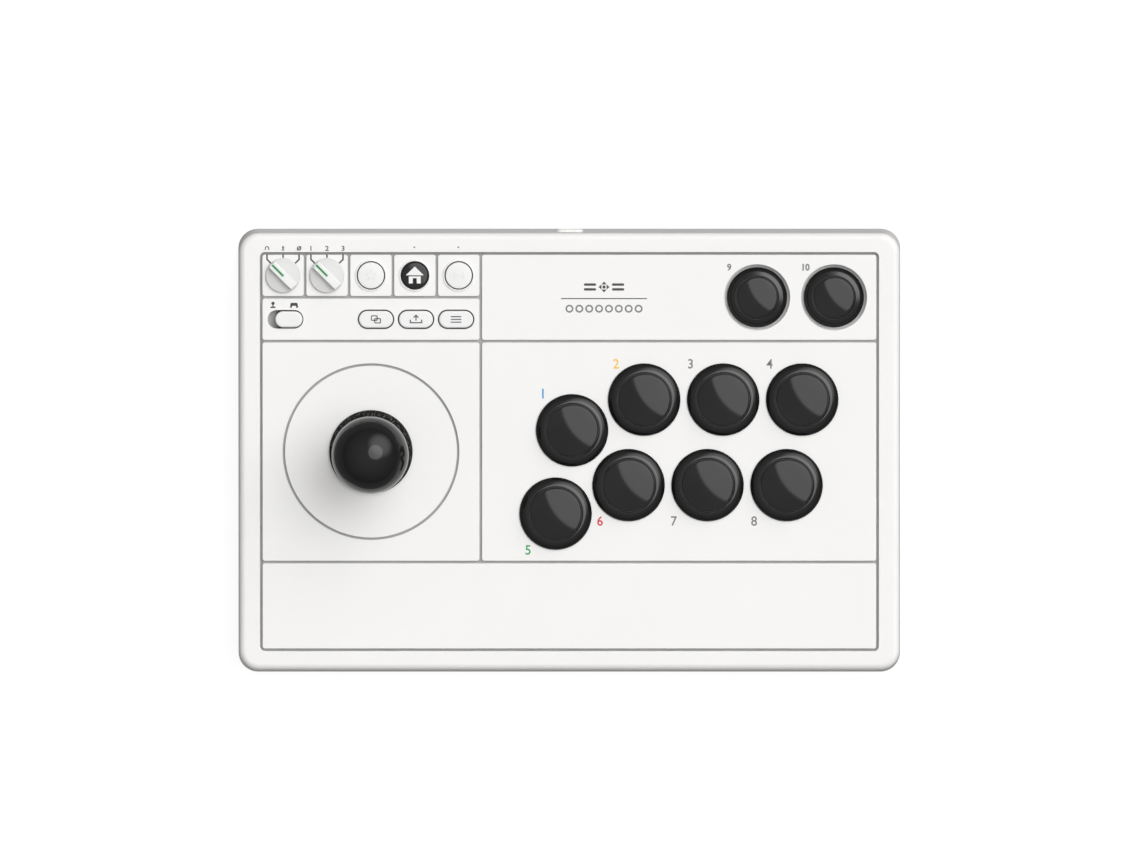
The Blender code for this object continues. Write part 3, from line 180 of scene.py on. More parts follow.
def rounded(corners, steps=ARC):
    """Points round a closed outline of (x, y, radius) corners, each drawn as an arc of that radius."""
    points = []
    for i, (x, y, radius) in enumerate(corners):
        if radius == 0.0:
            points.append((x, y))
            continue
        here = Vector((x, y))
        before = (Vector(corners[i - 1][:2]) - here).normalized()
        after = (Vector(corners[(i + 1) % len(corners)][:2]) - here).normalized()
        half = before.angle(after) / 2
        centre = here + (before + after).normalized() * radius / math.sin(half)
        start = here + before * radius / math.tan(half) - centre
        end = here + after * radius / math.tan(half) - centre
        first = math.atan2(start.y, start.x)
        sweep = (math.atan2(end.y, end.x) - first + math.pi) % (2 * math.pi) - math.pi
        points += arc(centre.x, centre.y, radius, first, sweep, steps)
    return points


def rounding(edge, steps=ARC):
    """An edge rounded to a radius, as steps of (how far in, how far up) from its foot."""
    angles = [i / steps * math.pi / 2 for i in range(steps + 1)]
    return [(edge * (1 - math.cos(angle)), edge * math.sin(angle)) for angle in angles]


# Solids in bmesh


def at_height(outline, z):
    return [(x, y, z) for x, y in outline]


def loft(mesh, loops, ring=False):
    """Skins loops of equal length; a ring joins the last to the first, otherwise both ends get a cap."""
    rows = [[mesh.verts.new(point) for point in loop] for loop in loops]
    pairs = list(zip(rows, rows[1:]))
    if ring:
        pairs.append((rows[-1], rows[0]))
    count = len(rows[0])
    for low, high in pairs:
        for i in range(count):
            j = (i + 1) % count
            mesh.faces.new((low[i], low[j], high[j], high[i]))
    if not ring:
        mesh.faces.new(rows[0])
        mesh.faces.new(rows[-1])


def prism(mesh, outline, z0, z1):
    loft(mesh, [at_height(outline, z0), at_height(outline, z1)])


def lofted(loops, ring=False):
    mesh = bmesh.new()
    loft(mesh, loops, ring)
    return mesh


def slab(outline, z0, z1):
    return lofted([at_height(outline, z0), at_height(outline, z1)])


def lathe(mesh, profile, points=ROUND, centre=(0.0, 0.0)):
    """Turns a closed profile of (radius, z) about a vertical axis. It may touch the axis in one stretch."""
    rows = []
    for radius, z in profile:
        if radius < 1e-7:
            rows.append([mesh.verts.new((centre[0], centre[1], z))] * points)
        else:
            rows.append([mesh.verts.new((x, y, z)) for x, y in circle(radius, points, centre)])
    for low, high in zip(rows, rows[1:] + rows[:1]):
        if low[0] is low[1] and high[0] is high[1]:
            continue
        for i in range(points):
            j = (i + 1) % points
            corners = dict.fromkeys((low[i], low[j], high[j], high[i]))
            mesh.faces.new(tuple(corners))


def turned(profile, points=ROUND, centre=(0.0, 0.0)):
    mesh = bmesh.new()
    lathe(mesh, profile, points, centre)
    return mesh


def soft_top(outline_at, z_low, z_high, edge=SOFT_EDGE, side=-1):
    """Loops of a block whose top edge is rounded. outline_at(out) gives its outline, moved outwards."""
    loops = [at_height(outline_at(0.0), z_low)]
    return loops + [at_height(outline_at(side * step), z_high - edge + rise) for step, rise in rounding(edge)]


def soft_hole(outline_at, z_low, z_top, edge=SOFT_EDGE):
    """Loops of a cutter that leaves a hole with a rounded mouth."""
    loops = soft_top(outline_at, z_low, z_top, edge, side=1)
    return [*loops, at_height(outline_at(edge), z_top + OVERRUN)]


# Pieces


def settle(piece, sharp):
    """Shades a piece smooth between its sharp edges, with flat faces kept flat, and applies its modifiers."""
    piece.data.shade_smooth()
    piece.data.set_sharp_from_angle(angle=math.radians(sharp))
    weighted = piece.modifiers.new("weighted_normals", "WEIGHTED_NORMAL")
    weighted.keep_sharp = True
    bake(piece)


def evaluated_mesh(thing):
    """The mesh that an object's modifiers, or its text, come to."""
    bpy.context.view_layer.update()
    graph = bpy.context.evaluated_depsgraph_get()
    result = thing.evaluated_get(graph)
    return bpy.data.meshes.new_from_object(result, preserve_all_data_layers=True, depsgraph=graph)


def bake(piece):
    """Replaces a piece's mesh by what its modifiers make of it."""
    made = evaluated_mesh(piece)
    old = piece.data
    piece.modifiers.clear()
    piece.data = made
    made.name = piece.name
    bpy.data.meshes.remove(old)


def add_object(name, mesh):
    bmesh.ops.recalc_face_normals(mesh, faces=mesh.faces)
    data = bpy.data.meshes.new(name)
    mesh.to_mesh(data)
    mesh.free()
    made = bpy.data.objects.new(name, data)
    bpy.context.scene.collection.objects.link(made)
    return made


def combine(target, operation, mesh, target_overlaps_itself=False):
    """Joins a bmesh to an object, or cuts it from it."""
    helper = add_object("helper", mesh)
    modifier = target.modifiers.new("combine", "BOOLEAN")
    modifier.operation = operation
    modifier.use_self = target_overlaps_itself
    modifier.object = helper
    bake(target)
    data = helper.data
    bpy.data.objects.remove(helper)
    bpy.data.meshes.remove(data)


def finish_piece(piece, finish, body, slot=None, stands_for=(), sharp=30.0):
    """Shades a piece, gives it its material and its body, and hides the nodes that it stands for."""
    settle(piece, sharp)
    piece.data.materials.clear()
    piece.data.materials.append(MATERIALS[finish])
    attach(piece, body)
    if stands_for:
        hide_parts(*stands_for)


def add_piece(name, mesh, *finishing):
    """Makes an object of a bmesh and finishes it as finish_piece does."""
    piece = add_object(name, mesh)
    finish_piece(piece, *finishing)
    return piece


def paint_faces(piece, finish, picks):
    """Gives the faces that picks(centre, normal) chooses another material."""
    piece.data.materials.append(MATERIALS[finish])
    for face in piece.data.polygons:
        if picks(face.center, face.normal):
            face.material_index = len(piece.data.materials) - 1


# Materials


def add_node(tree, kind, output, inputs, **settings):
    """Adds a shader node, sets or links its inputs, and returns one of its outputs."""
    node = tree.nodes.new(f"ShaderNode{kind}")
    for name, value in settings.items():
        setattr(node, name, value)
    for socket, value in inputs.items():
        if isinstance(value, bpy.types.NodeSocket):
            tree.links.new(value, node.inputs[socket])
        else:
            node.inputs[socket].default_value = value
    return node.outputs[output]


class Recipe:
    """A Principled material with room for its textures, all in the object's own coordinates."""

    def __init__(self, name, roughness, metallic=0.0, specular=0.5):
        self.material = bpy.data.materials.new(name)
        self.material.use_nodes = True
        self.tree = self.material.node_tree
        self.shader = self.tree.nodes["Principled BSDF"]
        self.shader.inputs["Roughness"].default_value = roughness
        self.shader.inputs["Metallic"].default_value = metallic
        self.shader.inputs["Specular IOR Level"].default_value = specular
        self.place = add_node(self.tree, "TexCoord", "Object", {})

    def noise(self, scale, detail=2.0, stretch=None):
        """Fractal noise with `scale` features to the metre."""
        place = self.place
        if stretch:
            place = add_node(self.tree, "Mapping", "Vector", {"Vector": place, "Scale": stretch})
        return add_node(self.tree, "TexNoise", "Fac", {"Vector": place, "Scale": scale, "Detail": detail})

    def ramp(self, value, low, high, from_low=0.3, from_high=0.7):
        ranges = {"From Min": from_low, "From Max": from_high, "To Min": low, "To Max": high}
        return add_node(self.tree, "MapRange", "Result", {"Value": value, **ranges})

    def colours(self, value, first, second):
        """Base colour that runs from one colour to another with a texture."""
        ends = {"Factor": value, "A": (*first, 1.0), "B": (*second, 1.0)}
        mixed = add_node(self.tree, "Mix", "Result", ends, data_type="RGBA")
        self.tree.links.new(mixed, self.shader.inputs["Base Color"])

    def roughness(self, value):
        self.tree.links.new(value, self.shader.inputs["Roughness"])

    def bump(self, value, depth):
        """Relief of `depth` metres between the texture's 0 and 1."""
        relief = {"Height": value, "Strength": 1.0, "Distance": depth}
        self.tree.links.new(add_node(self.tree, "Bump", "Normal", relief), self.shader.inputs["Normal"])


def shade(colour, share):
    return tuple(min(channel * share, 1.0) for channel in colour)


def moulded(name, colour, roughness, grain=2500.0, relief=0.004 * MM, mottle=0.006, specular=0.5):
    """Moulded plastic: faint clouds in its colour, a fine spark-eroded grain and uneven gloss."""
    recipe = Recipe(name, roughness, specular=specular)
    clouds = recipe.noise(45.0, 3.0)
    recipe.colours(recipe.ramp(clouds, 0.0, 1.0), shade(colour, 1 - mottle), shade(colour, 1 + mottle))
    recipe.roughness(recipe.ramp(recipe.noise(420.0), roughness * 0.9, roughness * 1.1))
    recipe.bump(recipe.noise(grain, 3.0), relief)
    return recipe.material


def speckled(name, colour, fleck, roughness):
    """Hard moulded sheet, dark with fine pale flecks and a coarse grain."""
    recipe = Recipe(name, roughness, specular=0.12)
    flecks = recipe.noise(1700.0, 1.0)
    recipe.colours(recipe.ramp(flecks, 0.0, 1.0, 0.52, 0.74), colour, fleck)
    recipe.roughness(recipe.ramp(flecks, roughness * 0.8, roughness * 1.2))
    recipe.bump(recipe.noise(1300.0, 2.0), 0.02 * MM)
    return recipe.material


def brushed(name, colour, roughness, stretch):
    """Metal with drawn or brushed lines along one direction."""
    recipe = Recipe(name, roughness, metallic=1.0)
    lines = recipe.noise(900.0, 4.0, stretch)
    recipe.colours(recipe.ramp(lines, 0.0, 1.0), shade(colour, 0.88), shade(colour, 1.08))
    recipe.roughness(recipe.ramp(lines, roughness * 0.75, roughness * 1.3))
    recipe.bump(lines, 0.003 * MM)
    return recipe.material


def solder_mask(name):
    """Green circuit board: copper tracks showing through the lacquer as paler lines."""
    recipe = Recipe(name, 0.35)
    tracks = recipe.noise(160.0, 0.0, (1.0, 6.0, 1.0))
    recipe.colours(recipe.ramp(tracks, 0.0, 1.0, 0.48, 0.52), (0.012, 0.11, 0.05), (0.03, 0.2, 0.09))
    recipe.bump(tracks, 0.02 * MM)
    return recipe.material


def polished(name, colour, roughness, specular, relief):
    """Polished black plastic, with hardly any grain."""
    return moulded(name, colour, roughness, relief=relief, mottle=0.2, specular=specular)


FINE_RELIEF = 0.0004 * MM
PLAIN_RELIEF = 0.001 * MM
MATERIALS = {
    "shell": moulded("shell_white", (0.83, 0.822, 0.806), 0.42),
    "faceplate": moulded("faceplate_white", (0.83, 0.823, 0.810), 0.38),
    # Mid grey painted on the groove floors: painted shade for the depth of the grooves
    "joint": moulded("groove_shade_grey", (0.38, 0.377, 0.37), 0.6, mottle=0.05),
    # Near black painted on the key openings' walls and the keys' flanges and stems: painted shade in the gaps
    # round the keys
    "painted_key_gap_shade": moulded("key_gap_shade_grey", (0.06, 0.06, 0.059), 0.6, mottle=0.05),
    # Light grey of the slide switch's shelf; also painted on the shell's ledge and the wells' trench floors
    # as painted shade
    "bed": moulded("slot_bed_grey_and_painted_shade", (0.55, 0.55, 0.545), 0.5, mottle=0.03),
    "key": moulded("key_white", (0.80, 0.797, 0.79), 0.35),
    "dial": moulded("dial_white", (0.81, 0.807, 0.80), 0.30),
    # A greyer copy of the dial white, painted on the dial discs as the shade of the grip bar
    "disc": moulded("dial_disc_painted_shade_white", (0.66, 0.657, 0.65), 0.35),
    "home": polished("home_black", (0.012, 0.012, 0.013), 0.10, 0.35, PLAIN_RELIEF),
    "rim": polished("button_rim_black", (0.006, 0.006, 0.0065), 0.10, 0.5, PLAIN_RELIEF),
    "small_rim": polished("small_rim_black", (0.006, 0.006, 0.0065), 0.16, 0.45, PLAIN_RELIEF),
    "plunger": polished("plunger_black", (0.012, 0.012, 0.0125), 0.06, 0.33, FINE_RELIEF),
    "ball": polished("ball_black", (0.009, 0.009, 0.0095), 0.10, 0.36, FINE_RELIEF),
    "washer": speckled("washer_black", (0.003, 0.003, 0.003), (0.13, 0.126, 0.12), 0.5),
    "nylon": moulded("black_nylon", (0.03, 0.03, 0.032), 0.5, grain=1500.0, relief=0.01 * MM, mottle=0.15),
    "acetal": moulded("white_acetal", (0.78, 0.78, 0.74), 0.3),
    "rubber": moulded("foot_rubber", (0.035, 0.035, 0.036), 0.85, grain=900.0, relief=0.04 * MM, mottle=0.2),
    "wrap": moulded("battery_wrap", (0.06, 0.14, 0.36), 0.35, grain=300.0, relief=0.05 * MM, mottle=0.1),
    "steel": brushed("zinc_steel", (0.6, 0.6, 0.61), 0.35, (1.0, 12.0, 12.0)),
    "chrome": brushed("shaft_chrome", (0.78, 0.78, 0.79), 0.10, (6.0, 6.0, 0.6)),
    "board": solder_mask("circuit_board"),
    "print_pale": moulded("print_pale", (0.69, 0.69, 0.685), 0.5, mottle=0.04),
    "print_white": moulded("print_white", (0.80, 0.80, 0.79), 0.4, mottle=0.04),
    "pointer": moulded("pointer_green", (0.03, 0.125, 0.06), 0.4, mottle=0.1),
    "glow": moulded("pointer_pale_green", (0.50, 0.76, 0.55), 0.4, mottle=0.05),
}
INKS = {
    "print_grey": (0.19, 0.19, 0.195),
    "print_dark": (0.05, 0.049, 0.047),
    "print_blue": (0.02, 0.27, 0.60),
    "print_yellow": (0.88, 0.52, 0.05),
    "print_green": (0.02, 0.33, 0.09),
    "print_red": (0.62, 0.02, 0.05),
}
for ink, ink_colour in INKS.items():
    MATERIALS[ink] = moulded(ink, ink_colour, 0.5, mottle=0.06)


# Case


def make_shell():
    """Walls, rounded top edge, and a stepped opening whose ledge carries the faceplate."""
    low = SHELL_LOW.z
    foot_edge = 0.4 * MM
    fillet_steps = 10
    loops = [at_height(case_outline(low, WALL), low)]
    for step, rise in rounding(foot_edge):
        loops.append(at_height(case_outline(low, foot_edge - rise), low + step))
    for inset, rise in rounding(TOP_FILLET, fillet_steps):
        loops.append(at_height(case_outline(CASE_TOP, inset), CASE_TOP + rise))
    opening_x, opening_y = PLATE_X + PLATE_JOINT, PLATE_Y + PLATE_JOINT
    corner = PLATE_CORNER + PLATE_JOINT
    for drop, rise in rounding(SOFT_EDGE):
        out = SOFT_EDGE - rise
        loops.append(at_height(panel_box(opening_x + out, opening_y + out, corner + out), PANEL - drop))
    ledge_top = PLATE_BOTTOM - GAP
    ledge_bottom = ledge_top - LEDGE_THICKNESS
    ledge = panel_box(PLATE_X - LEDGE_BEARING, PLATE_Y - LEDGE_BEARING, corner)
    loops.append(at_height(panel_box(opening_x, opening_y, corner), ledge_top))
    loops += [at_height(ledge, ledge_top), at_height(ledge, ledge_bottom)]
    loops.append(at_height(case_outline(ledge_bottom, WALL), ledge_bottom))
    shell = add_object("top_shell_skin", lofted(loops, ring=True))
    port_low, port_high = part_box("usb_port")
    port = pill_at(port_high.x - port_low.x + 2 * GAP, port_high.z - port_low.z + 2 * GAP)
    combine(shell, "UNION", at_port(soft_top, pill_at(BEZEL_LENGTH, BEZEL_WIDTH), 0.0, BEZEL_EDGE))
    combine(shell, "DIFFERENCE", at_port(soft_hole, port, OVERRUN, SOFT_EDGE))
    finish_piece(shell, "shell", "case", "shell_white", ["top_shell"])
    # The ledge under the faceplate's edge gets painted shade, light grey, to darken the line round the
    # faceplate
    paint_faces(shell, "bed", at_level(ledge_top))


def at_level(z):
    """Picks the level faces at a height."""
    return lambda centre, normal: normal.z > 0.9 and abs(centre.z - z) < 0.01 * MM


PORT_MIDDLE = middle("usb_port")
BEZEL_LENGTH = 12.6 * MM
BEZEL_WIDTH = 6.6 * MM
BEZEL_EDGE = 0.9 * MM


def at_port(shape, outline_at, overrun, edge):
    """A solid drawn flat and stood in the rear wall at the port: y becomes height, z becomes depth."""
    place = Vector((PORT_MIDDLE.x, REAR - WALL - overrun, PORT_MIDDLE.z))
    loops = shape(outline_at, 0.0, SHELL_HIGH.y - place.y, edge)
    return lofted([[(place.x + x, place.y + z, place.z + y) for x, y, z in loop] for loop in loops])


def plate_tiles():
    """The faceplate's fields, as (left, right, front, rear) between groove centre lines."""
    tiles = [
        (-JOINT_X, JOINT_X, -JOINT_Y, -STRIP_V),
        (-JOINT_X, CELLS_END, -STRIP_V, STRIP_V),
        (CELLS_END, JOINT_X, -STRIP_V, STRIP_V),
        (CELLS_END, JOINT_X, STRIP_V, JOINT_Y),
        (-JOINT_X, CELLS_END, STRIP_V, JOINT_Y - CELL),
    ]
    for i in range(CELL_COUNT):
        left = i * CELL - JOINT_X
        tiles.append((left, left + CELL, JOINT_Y - CELL, JOINT_Y))
    return tiles


WELL_RADIUS = 15.0 * MM
WELL_DEPTH = 2.2 * MM
WELL_FLOOR = 2.6 * MM
WELL_BOSS_WALL = 1.6 * MM
TRENCH = 1.2 * MM  # the ring outside a recessed button's rim is this much deeper
WELL_BOTTOM = PANEL - WELL_DEPTH - WELL_FLOOR
KEY_RADIUS = 6.0 * MM
COLLAR_WIDTH = 0.7 * MM
COLLAR_HEIGHT = 0.6 * MM
PILL_LENGTH = 15.5 * MM
PILL_WIDTH = 7.7 * MM
PILL_CLEARANCE = 0.55 * MM
KEY_CLEARANCE = 0.5 * MM
PILL_FLANGE_LIP = 1.2 * MM
SLOT_LENGTH = 16.2 * MM
SLOT_WIDTH = 8.4 * MM
SLIDER_LENGTH = 12.5 * MM
SLIDER_WIDTH = 7.3 * MM
SLIDER_TRAVEL = 3.0 * MM
LEVER_HOLE_RADIUS = 12.0 * MM
DIAL_SPINDLE = 3.0 * MM
LARGE_BARREL = 14.8 * MM
SMALL_BARREL = 11.8 * MM


def key_hole(centre, normal):
    """Picks the walls of the openings round the keys, which get painted shade: near black, for the gaps round
    the keys.
    """
    wall = abs(normal.z) < 0.5 and PLATE_BOTTOM < centre.z < PANEL - GROOVE_DEPTH
    return wall and centre.x < CELLS_END and centre.y > PANEL_Y + STRIP_V


def button_place(name):
    return middle(f"{name}_housing")


def slot_centre():
    """The slide switch's slot reaches one travel further left than its knob."""
    place = middle("slide_switch_knob")
    return Vector((place.x - SLIDER_TRAVEL / 2, place.y, place.z))


def make_faceplate():
    """A slab with a raised rounded tile for each field, the key collars, and then every hole."""
    floor = PANEL - GROOVE_DEPTH
    plate = add_object("faceplate_skin", slab(panel_box(PLATE_X, PLATE_Y, PLATE_CORNER), PLATE_BOTTOM, floor))
    tiles = bmesh.new()
    for left, right, front, rear in plate_tiles():
        x0, x1 = left + GROOVE_WIDTH / 2, right - GROOVE_WIDTH / 2
        y0, y1 = PANEL_Y + front + GROOVE_WIDTH / 2, PANEL_Y + rear - GROOVE_WIDTH / 2

        def outline(out):
            return box_outline(x0 - out, x1 + out, y0 - out, y1 + out, PLATE_CORNER + out)

        loft(tiles, soft_top(outline, floor - BITE, PANEL))
    combine(plate, "UNION", tiles)
    combine(plate, "UNION", plate_bosses())
    combine(plate, "DIFFERENCE", plate_holes())
    finish_piece(plate, "faceplate", "case", "faceplate_white", ["faceplate"])
    # The groove floors get painted shade, mid grey, to darken the grooves
    paint_faces(plate, "joint", at_level(floor))
    # The walls of the key openings get painted shade, near black
    paint_faces(plate, "painted_key_gap_shade", key_hole)
    # The trench floors round the recessed buttons get painted shade, light grey
    paint_faces(plate, "bed", at_level(PANEL - WELL_DEPTH - TRENCH))


def plate_bosses():
    """Collars round the round keys, and the bosses behind the wells."""
    mesh = bmesh.new()
    outer = KEY_RADIUS + KEY_CLEARANCE + COLLAR_WIDTH
    foot, crest, edge = PANEL - BITE, PANEL + COLLAR_HEIGHT, 0.3 * MM
    profile = rounded([(0.0, foot, 0.0), (outer, foot, 0.0), (outer, crest, edge), (0.0, crest, 0.0)])
    for name in ROUND_KEYS:
        lathe(mesh, profile, ROUND, middle(name))
    for name in SMALL_BUTTONS:
        outline = circle(WELL_RADIUS + WELL_BOSS_WALL, ROUND, button_place(name))
        prism(mesh, outline, WELL_BOTTOM, PLATE_BOTTOM + BITE)
    return mesh


def plate_holes():
    mesh = bmesh.new()
    low = PLATE_BOTTOM - OVERRUN
    collar_edge, pill_edge = 0.2 * MM, 0.25 * MM

    def round_hole(radius, place, z_top=PANEL, edge=SOFT_EDGE):
        loft(mesh, soft_hole(lambda out: circle(radius + out, ROUND, place), low, z_top, edge))

    def pill_hole(length, width, place):
        loft(mesh, soft_hole(pill_at(length, width, place), low, PANEL, pill_edge))

    round_hole(LEVER_HOLE_RADIUS, middle("dust_washer"))
    for name in LARGE_BUTTONS:
        round_hole(LARGE_BARREL + GAP, button_place(name))
    for name in SMALL_BUTTONS:
        lathe(mesh, well_profile(half_width(f"{name}_housing")), ROUND, button_place(name))
    for name in ROUND_KEYS:
        round_hole(KEY_RADIUS + KEY_CLEARANCE, middle(name), PANEL + COLLAR_HEIGHT, collar_edge)
    for name in DIALS:
        round_hole(DIAL_SPINDLE + GAP, middle(name))
    for name in PILL_KEYS:
        pill_hole(PILL_LENGTH + 2 * PILL_CLEARANCE, PILL_WIDTH + 2 * PILL_CLEARANCE, middle(name))
    pill_hole(SLOT_LENGTH, SLOT_WIDTH, slot_centre())
    lathe(mesh, ring_groove_profile(), FINE_ROUND, middle("dust_washer"))
    return mesh


def well_profile(rim):
    """The hole of a recessed button, its seat, the trench outside its rim, and the well's soft mouth."""
    hole, low = SMALL_BARREL + GAP, WELL_BOTTOM - OVERRUN
    fillet = under_rim = 0.3 * MM
    seat = PANEL - WELL_DEPTH
    step, floor = rim - under_rim, seat - TRENCH
    profile = [(0.0, low), (hole, low), (hole, seat), (step, seat), (step, floor)]
    profile += arc(WELL_RADIUS - fillet, floor + fillet, fillet, -math.pi / 2, math.pi / 2, ARC)
    profile += [(WELL_RADIUS + out, PANEL - SOFT_EDGE + rise) for out, rise in rounding(SOFT_EDGE)]
    return profile + [(WELL_RADIUS + SOFT_EDGE, PANEL + OVERRUN), (0.0, PANEL + OVERRUN)]


def ring_groove_profile():
    """The round groove about the lever, with flared edges."""
    inner = RING_GROOVE_RADIUS - RING_GROOVE_WIDTH / 2
    outer = RING_GROOVE_RADIUS + RING_GROOVE_WIDTH / 2
    flare = 0.10 * MM
    edge = [(out, PANEL - flare + rise) for out, rise in rounding(flare)]
    profile = [(inner, PANEL - GROOVE_DEPTH), (outer, PANEL - GROOVE_DEPTH)]
    profile += [(outer + out, z) for out, z in edge]
    profile += [(outer + flare, PANEL + OVERRUN), (inner - flare, PANEL + OVERRUN)]
    return profile + [(inner - out, z) for out, z in reversed(edge)]


def make_feet():
    """Rubber strips with rounded edges and a ribbed tread."""
    length, width, corner, edge = 236.0 * MM, 14.0 * MM, 5.0 * MM, 1.0 * MM
    rib_width, rib_end, rib_pitch, rib_depth = 1.2 * MM, 0.59 * MM, 3.2 * MM, 0.5 * MM
    for name in ("foot_front", "foot_rear"):
        place, low = middle(name), bottom(name)
        loops = []
        for step, rise in rounding(edge):
            inset = edge - rise
            outline = centred_box(length - 2 * inset, width - 2 * inset, corner - inset, place)
            loops.append(at_height(outline, low + step))
        loops.append(at_height(centred_box(length, width, corner, place), top(name)))
        foot = add_object(f"{name}_strip", lofted(loops))
        ribs = bmesh.new()
        for k in (-1, 0, 1):
            centre = (place.x, place.y + k * rib_pitch)
            groove = centred_box(length - 2 * corner, rib_width, rib_end, centre, 4)
            prism(ribs, groove, low - OVERRUN, low + rib_depth)
        combine(foot, "DIFFERENCE", ribs)
        finish_piece(foot, "rubber", "case", "foot_rubber", [name])


# Push buttons


RIM_STEPS = 14
RIM_EDGE = 0.35 * MM  # the outer edge's height over the rim's underside


def rolled_rim(bore, rim, crest, edge):
    """(radius, z) up a rim that curves down ever more steeply from its crest beside the bore to its edge."""
    start = bore + 0.35 * MM
    points = []
    for i in range(RIM_STEPS + 1):
        share = 1 - i / RIM_STEPS
        points.append((start + (rim - start) * share, crest - (crest - edge) * share**2))
    return points


def stepped_rim(bore, rim, crest, edge):
    """(radius, z) up a rim whose outer part slopes steeply, below a gently sloping ring."""
    below = edge - MM
    knee = (bore + 2.2 * MM, crest - 0.5 * MM, 0.3 * MM)
    ring = [(rim, edge, 0.15 * MM), knee, (bore + 0.4 * MM, crest, 0.2 * MM)]
    return rounded([(rim - 2 * MM, below, 0.0), (rim, below, 0.0), *ring, (bore, crest, 0.0)], 4)[2:-1]


def make_button(name, barrel, barrel_wall, lip, flange_lip, dome, rim_drop, rim_shape, finish):
    """Housing with a shaped rim, and a domed plunger with a rounded edge."""
    housing, plunger_node = f"{name}_housing", f"{name}_plunger"
    place = middle(housing)
    low, rim_top = bottom(housing), top(housing)
    chamfer, rim_chamfer, mouth = 0.4 * MM, 0.15 * MM, 0.3 * MM
    retainer_thickness, floor_thickness = 1.0 * MM, 1.5 * MM
    rim = barrel + lip
    inner = barrel - barrel_wall
    plunger = inner - GAP - flange_lip
    bore = plunger + GAP
    rim_bottom = rim_top - rim_drop
    retainer = rim_bottom - GAP - retainer_thickness
    floor = low + floor_thickness
    profile = [(0.0, floor), (0.0, low), (barrel - chamfer, low), (barrel, low + chamfer)]
    profile += [(barrel, rim_bottom), (rim - rim_chamfer, rim_bottom), (rim, rim_bottom + rim_chamfer)]
    profile += rim_shape(bore, rim, rim_top, rim_bottom + RIM_EDGE)
    profile += arc(bore + mouth, rim_top - mouth, mouth, math.pi / 2, math.pi / 2, 4)
    profile += [(bore, retainer), (inner, retainer), (inner, floor)]
    rim_piece = turned(profile, ROUND, place)
    add_piece(f"{name}_rim", rim_piece, finish, "case", "button_black", [housing], 40.0)

    crown, stem_bottom = top(plunger_node), bottom(plunger_node)
    wall, stem, edge, flange_thickness = 1.9 * MM, 2.5 * MM, 0.8 * MM, 2.0 * MM
    flange = inner - GAP
    flange_top = retainer - GAP
    flange_bottom = flange_top - flange_thickness
    cap_inside = plunger - wall
    ceiling = rim_top - wall
    slope = math.asin((plunger - edge) / (dome - edge))
    edge_z = crown - dome + (dome - edge) * math.cos(slope)
    profile = [(plunger, flange_top)]
    profile += arc(plunger - edge, edge_z, edge, 0.0, math.pi / 2 - slope, 8)
    profile += arc(0.0, crown - dome, dome, math.pi / 2 - slope, slope, 16)[1:]
    profile += [(0.0, stem_bottom), (stem, stem_bottom), (stem, ceiling), (cap_inside, ceiling)]
    profile += [(cap_inside, flange_bottom), (flange, flange_bottom), (flange, flange_top)]
    cap = turned(profile, ROUND, place)
    add_piece(f"{name}_cap", cap, "plunger", name, "plunger_black", [plunger_node])


def make_buttons():
    large = {"barrel": LARGE_BARREL, "barrel_wall": 1.6 * MM, "lip": 1.7 * MM, "flange_lip": 0.95 * MM}
    large |= {"dome": 120.0 * MM, "rim_drop": 2.5 * MM, "rim_shape": rolled_rim, "finish": "rim"}
    small = {"barrel": SMALL_BARREL, "barrel_wall": 1.5 * MM, "lip": 1.9 * MM, "flange_lip": 0.6 * MM}
    small |= {"dome": 100.0 * MM, "rim_drop": 2.4 * MM, "rim_shape": stepped_rim, "finish": "small_rim"}
    for name in LARGE_BUTTONS:
        make_button(name, **large)
    for name in SMALL_BUTTONS:
        make_button(name, **small)


# Lever


def make_lever():
    """Ball top, shaft and dust washer."""
    place = middle("ball_top")
    ball_low, ball_high = bottom("ball_top"), top("ball_top")
    radius, socket = 17.5 * MM, 3.3 * MM
    centre_z = ball_high - radius
    tip = top("lever_shaft")
    start = math.asin((ball_low - centre_z) / radius)
    profile = arc(0.0, centre_z, radius, start, math.pi / 2 - start, 48)
    profile += [(0.0, tip + GAP), (socket, tip + GAP), (socket, ball_low)]
    ball = turned(profile, FINE_ROUND, place)
    add_piece("ball_top_gloss", ball, "ball", "lever_stem", "ball_black", ["ball_top"])

    shaft, groove, tip_radius = 4.75 * MM, 3.9 * MM, 3.0 * MM
    end = bottom("lever_shaft")
    clip_low, clip_high = bottom("lever_e_clip") - GAP, top("lever_e_clip") + GAP
    shoulder = ball_low - GAP
    profile = [(0.0, end, 0.0), (shaft, end, 0.6 * MM), (shaft, clip_low, 0.1 * MM), (groove, clip_low, 0.0)]
    profile += [(groove, clip_high, 0.0), (shaft, clip_high, 0.1 * MM), (shaft, shoulder, 0.3 * MM)]
    profile += [(tip_radius, shoulder, 0.0), (tip_radius, tip, 0.4 * MM), (0.0, tip, 0.0)]
    polished_shaft = turned(rounded(profile), ROUND, place)
    add_piece("lever_shaft_polished", polished_shaft, "chrome", "lever_stem", "shaft_chrome", ["lever_shaft"])

    low, high = bottom("dust_washer"), top("dust_washer")
    outer, bore = 19.0 * MM, 6.96 * MM
    profile = [(outer, low, 0.2 * MM), (outer, high, 0.5 * MM), (bore, high, 0.3 * MM), (bore, low, 0.0)]
    disc = turned(rounded(profile), FINE_ROUND, middle("dust_washer"))
    add_piece("dust_washer_disc", disc, "washer", "washer", "washer_black", ["dust_washer"])


# Keys, dials and the slide switch


def key_levels(node):
    """The foot of a key's stem, and its flange's underside and top."""
    flange_thickness = 1.2 * MM
    flange_top = PLATE_BOTTOM - GAP
    return bottom(node), flange_top - flange_thickness, flange_top


def below_panel(centre, normal):
    """Picks a key's flange and stem, which get painted shade: near black, as seen down the gap round the key.
    """
    return centre.z < PLATE_BOTTOM


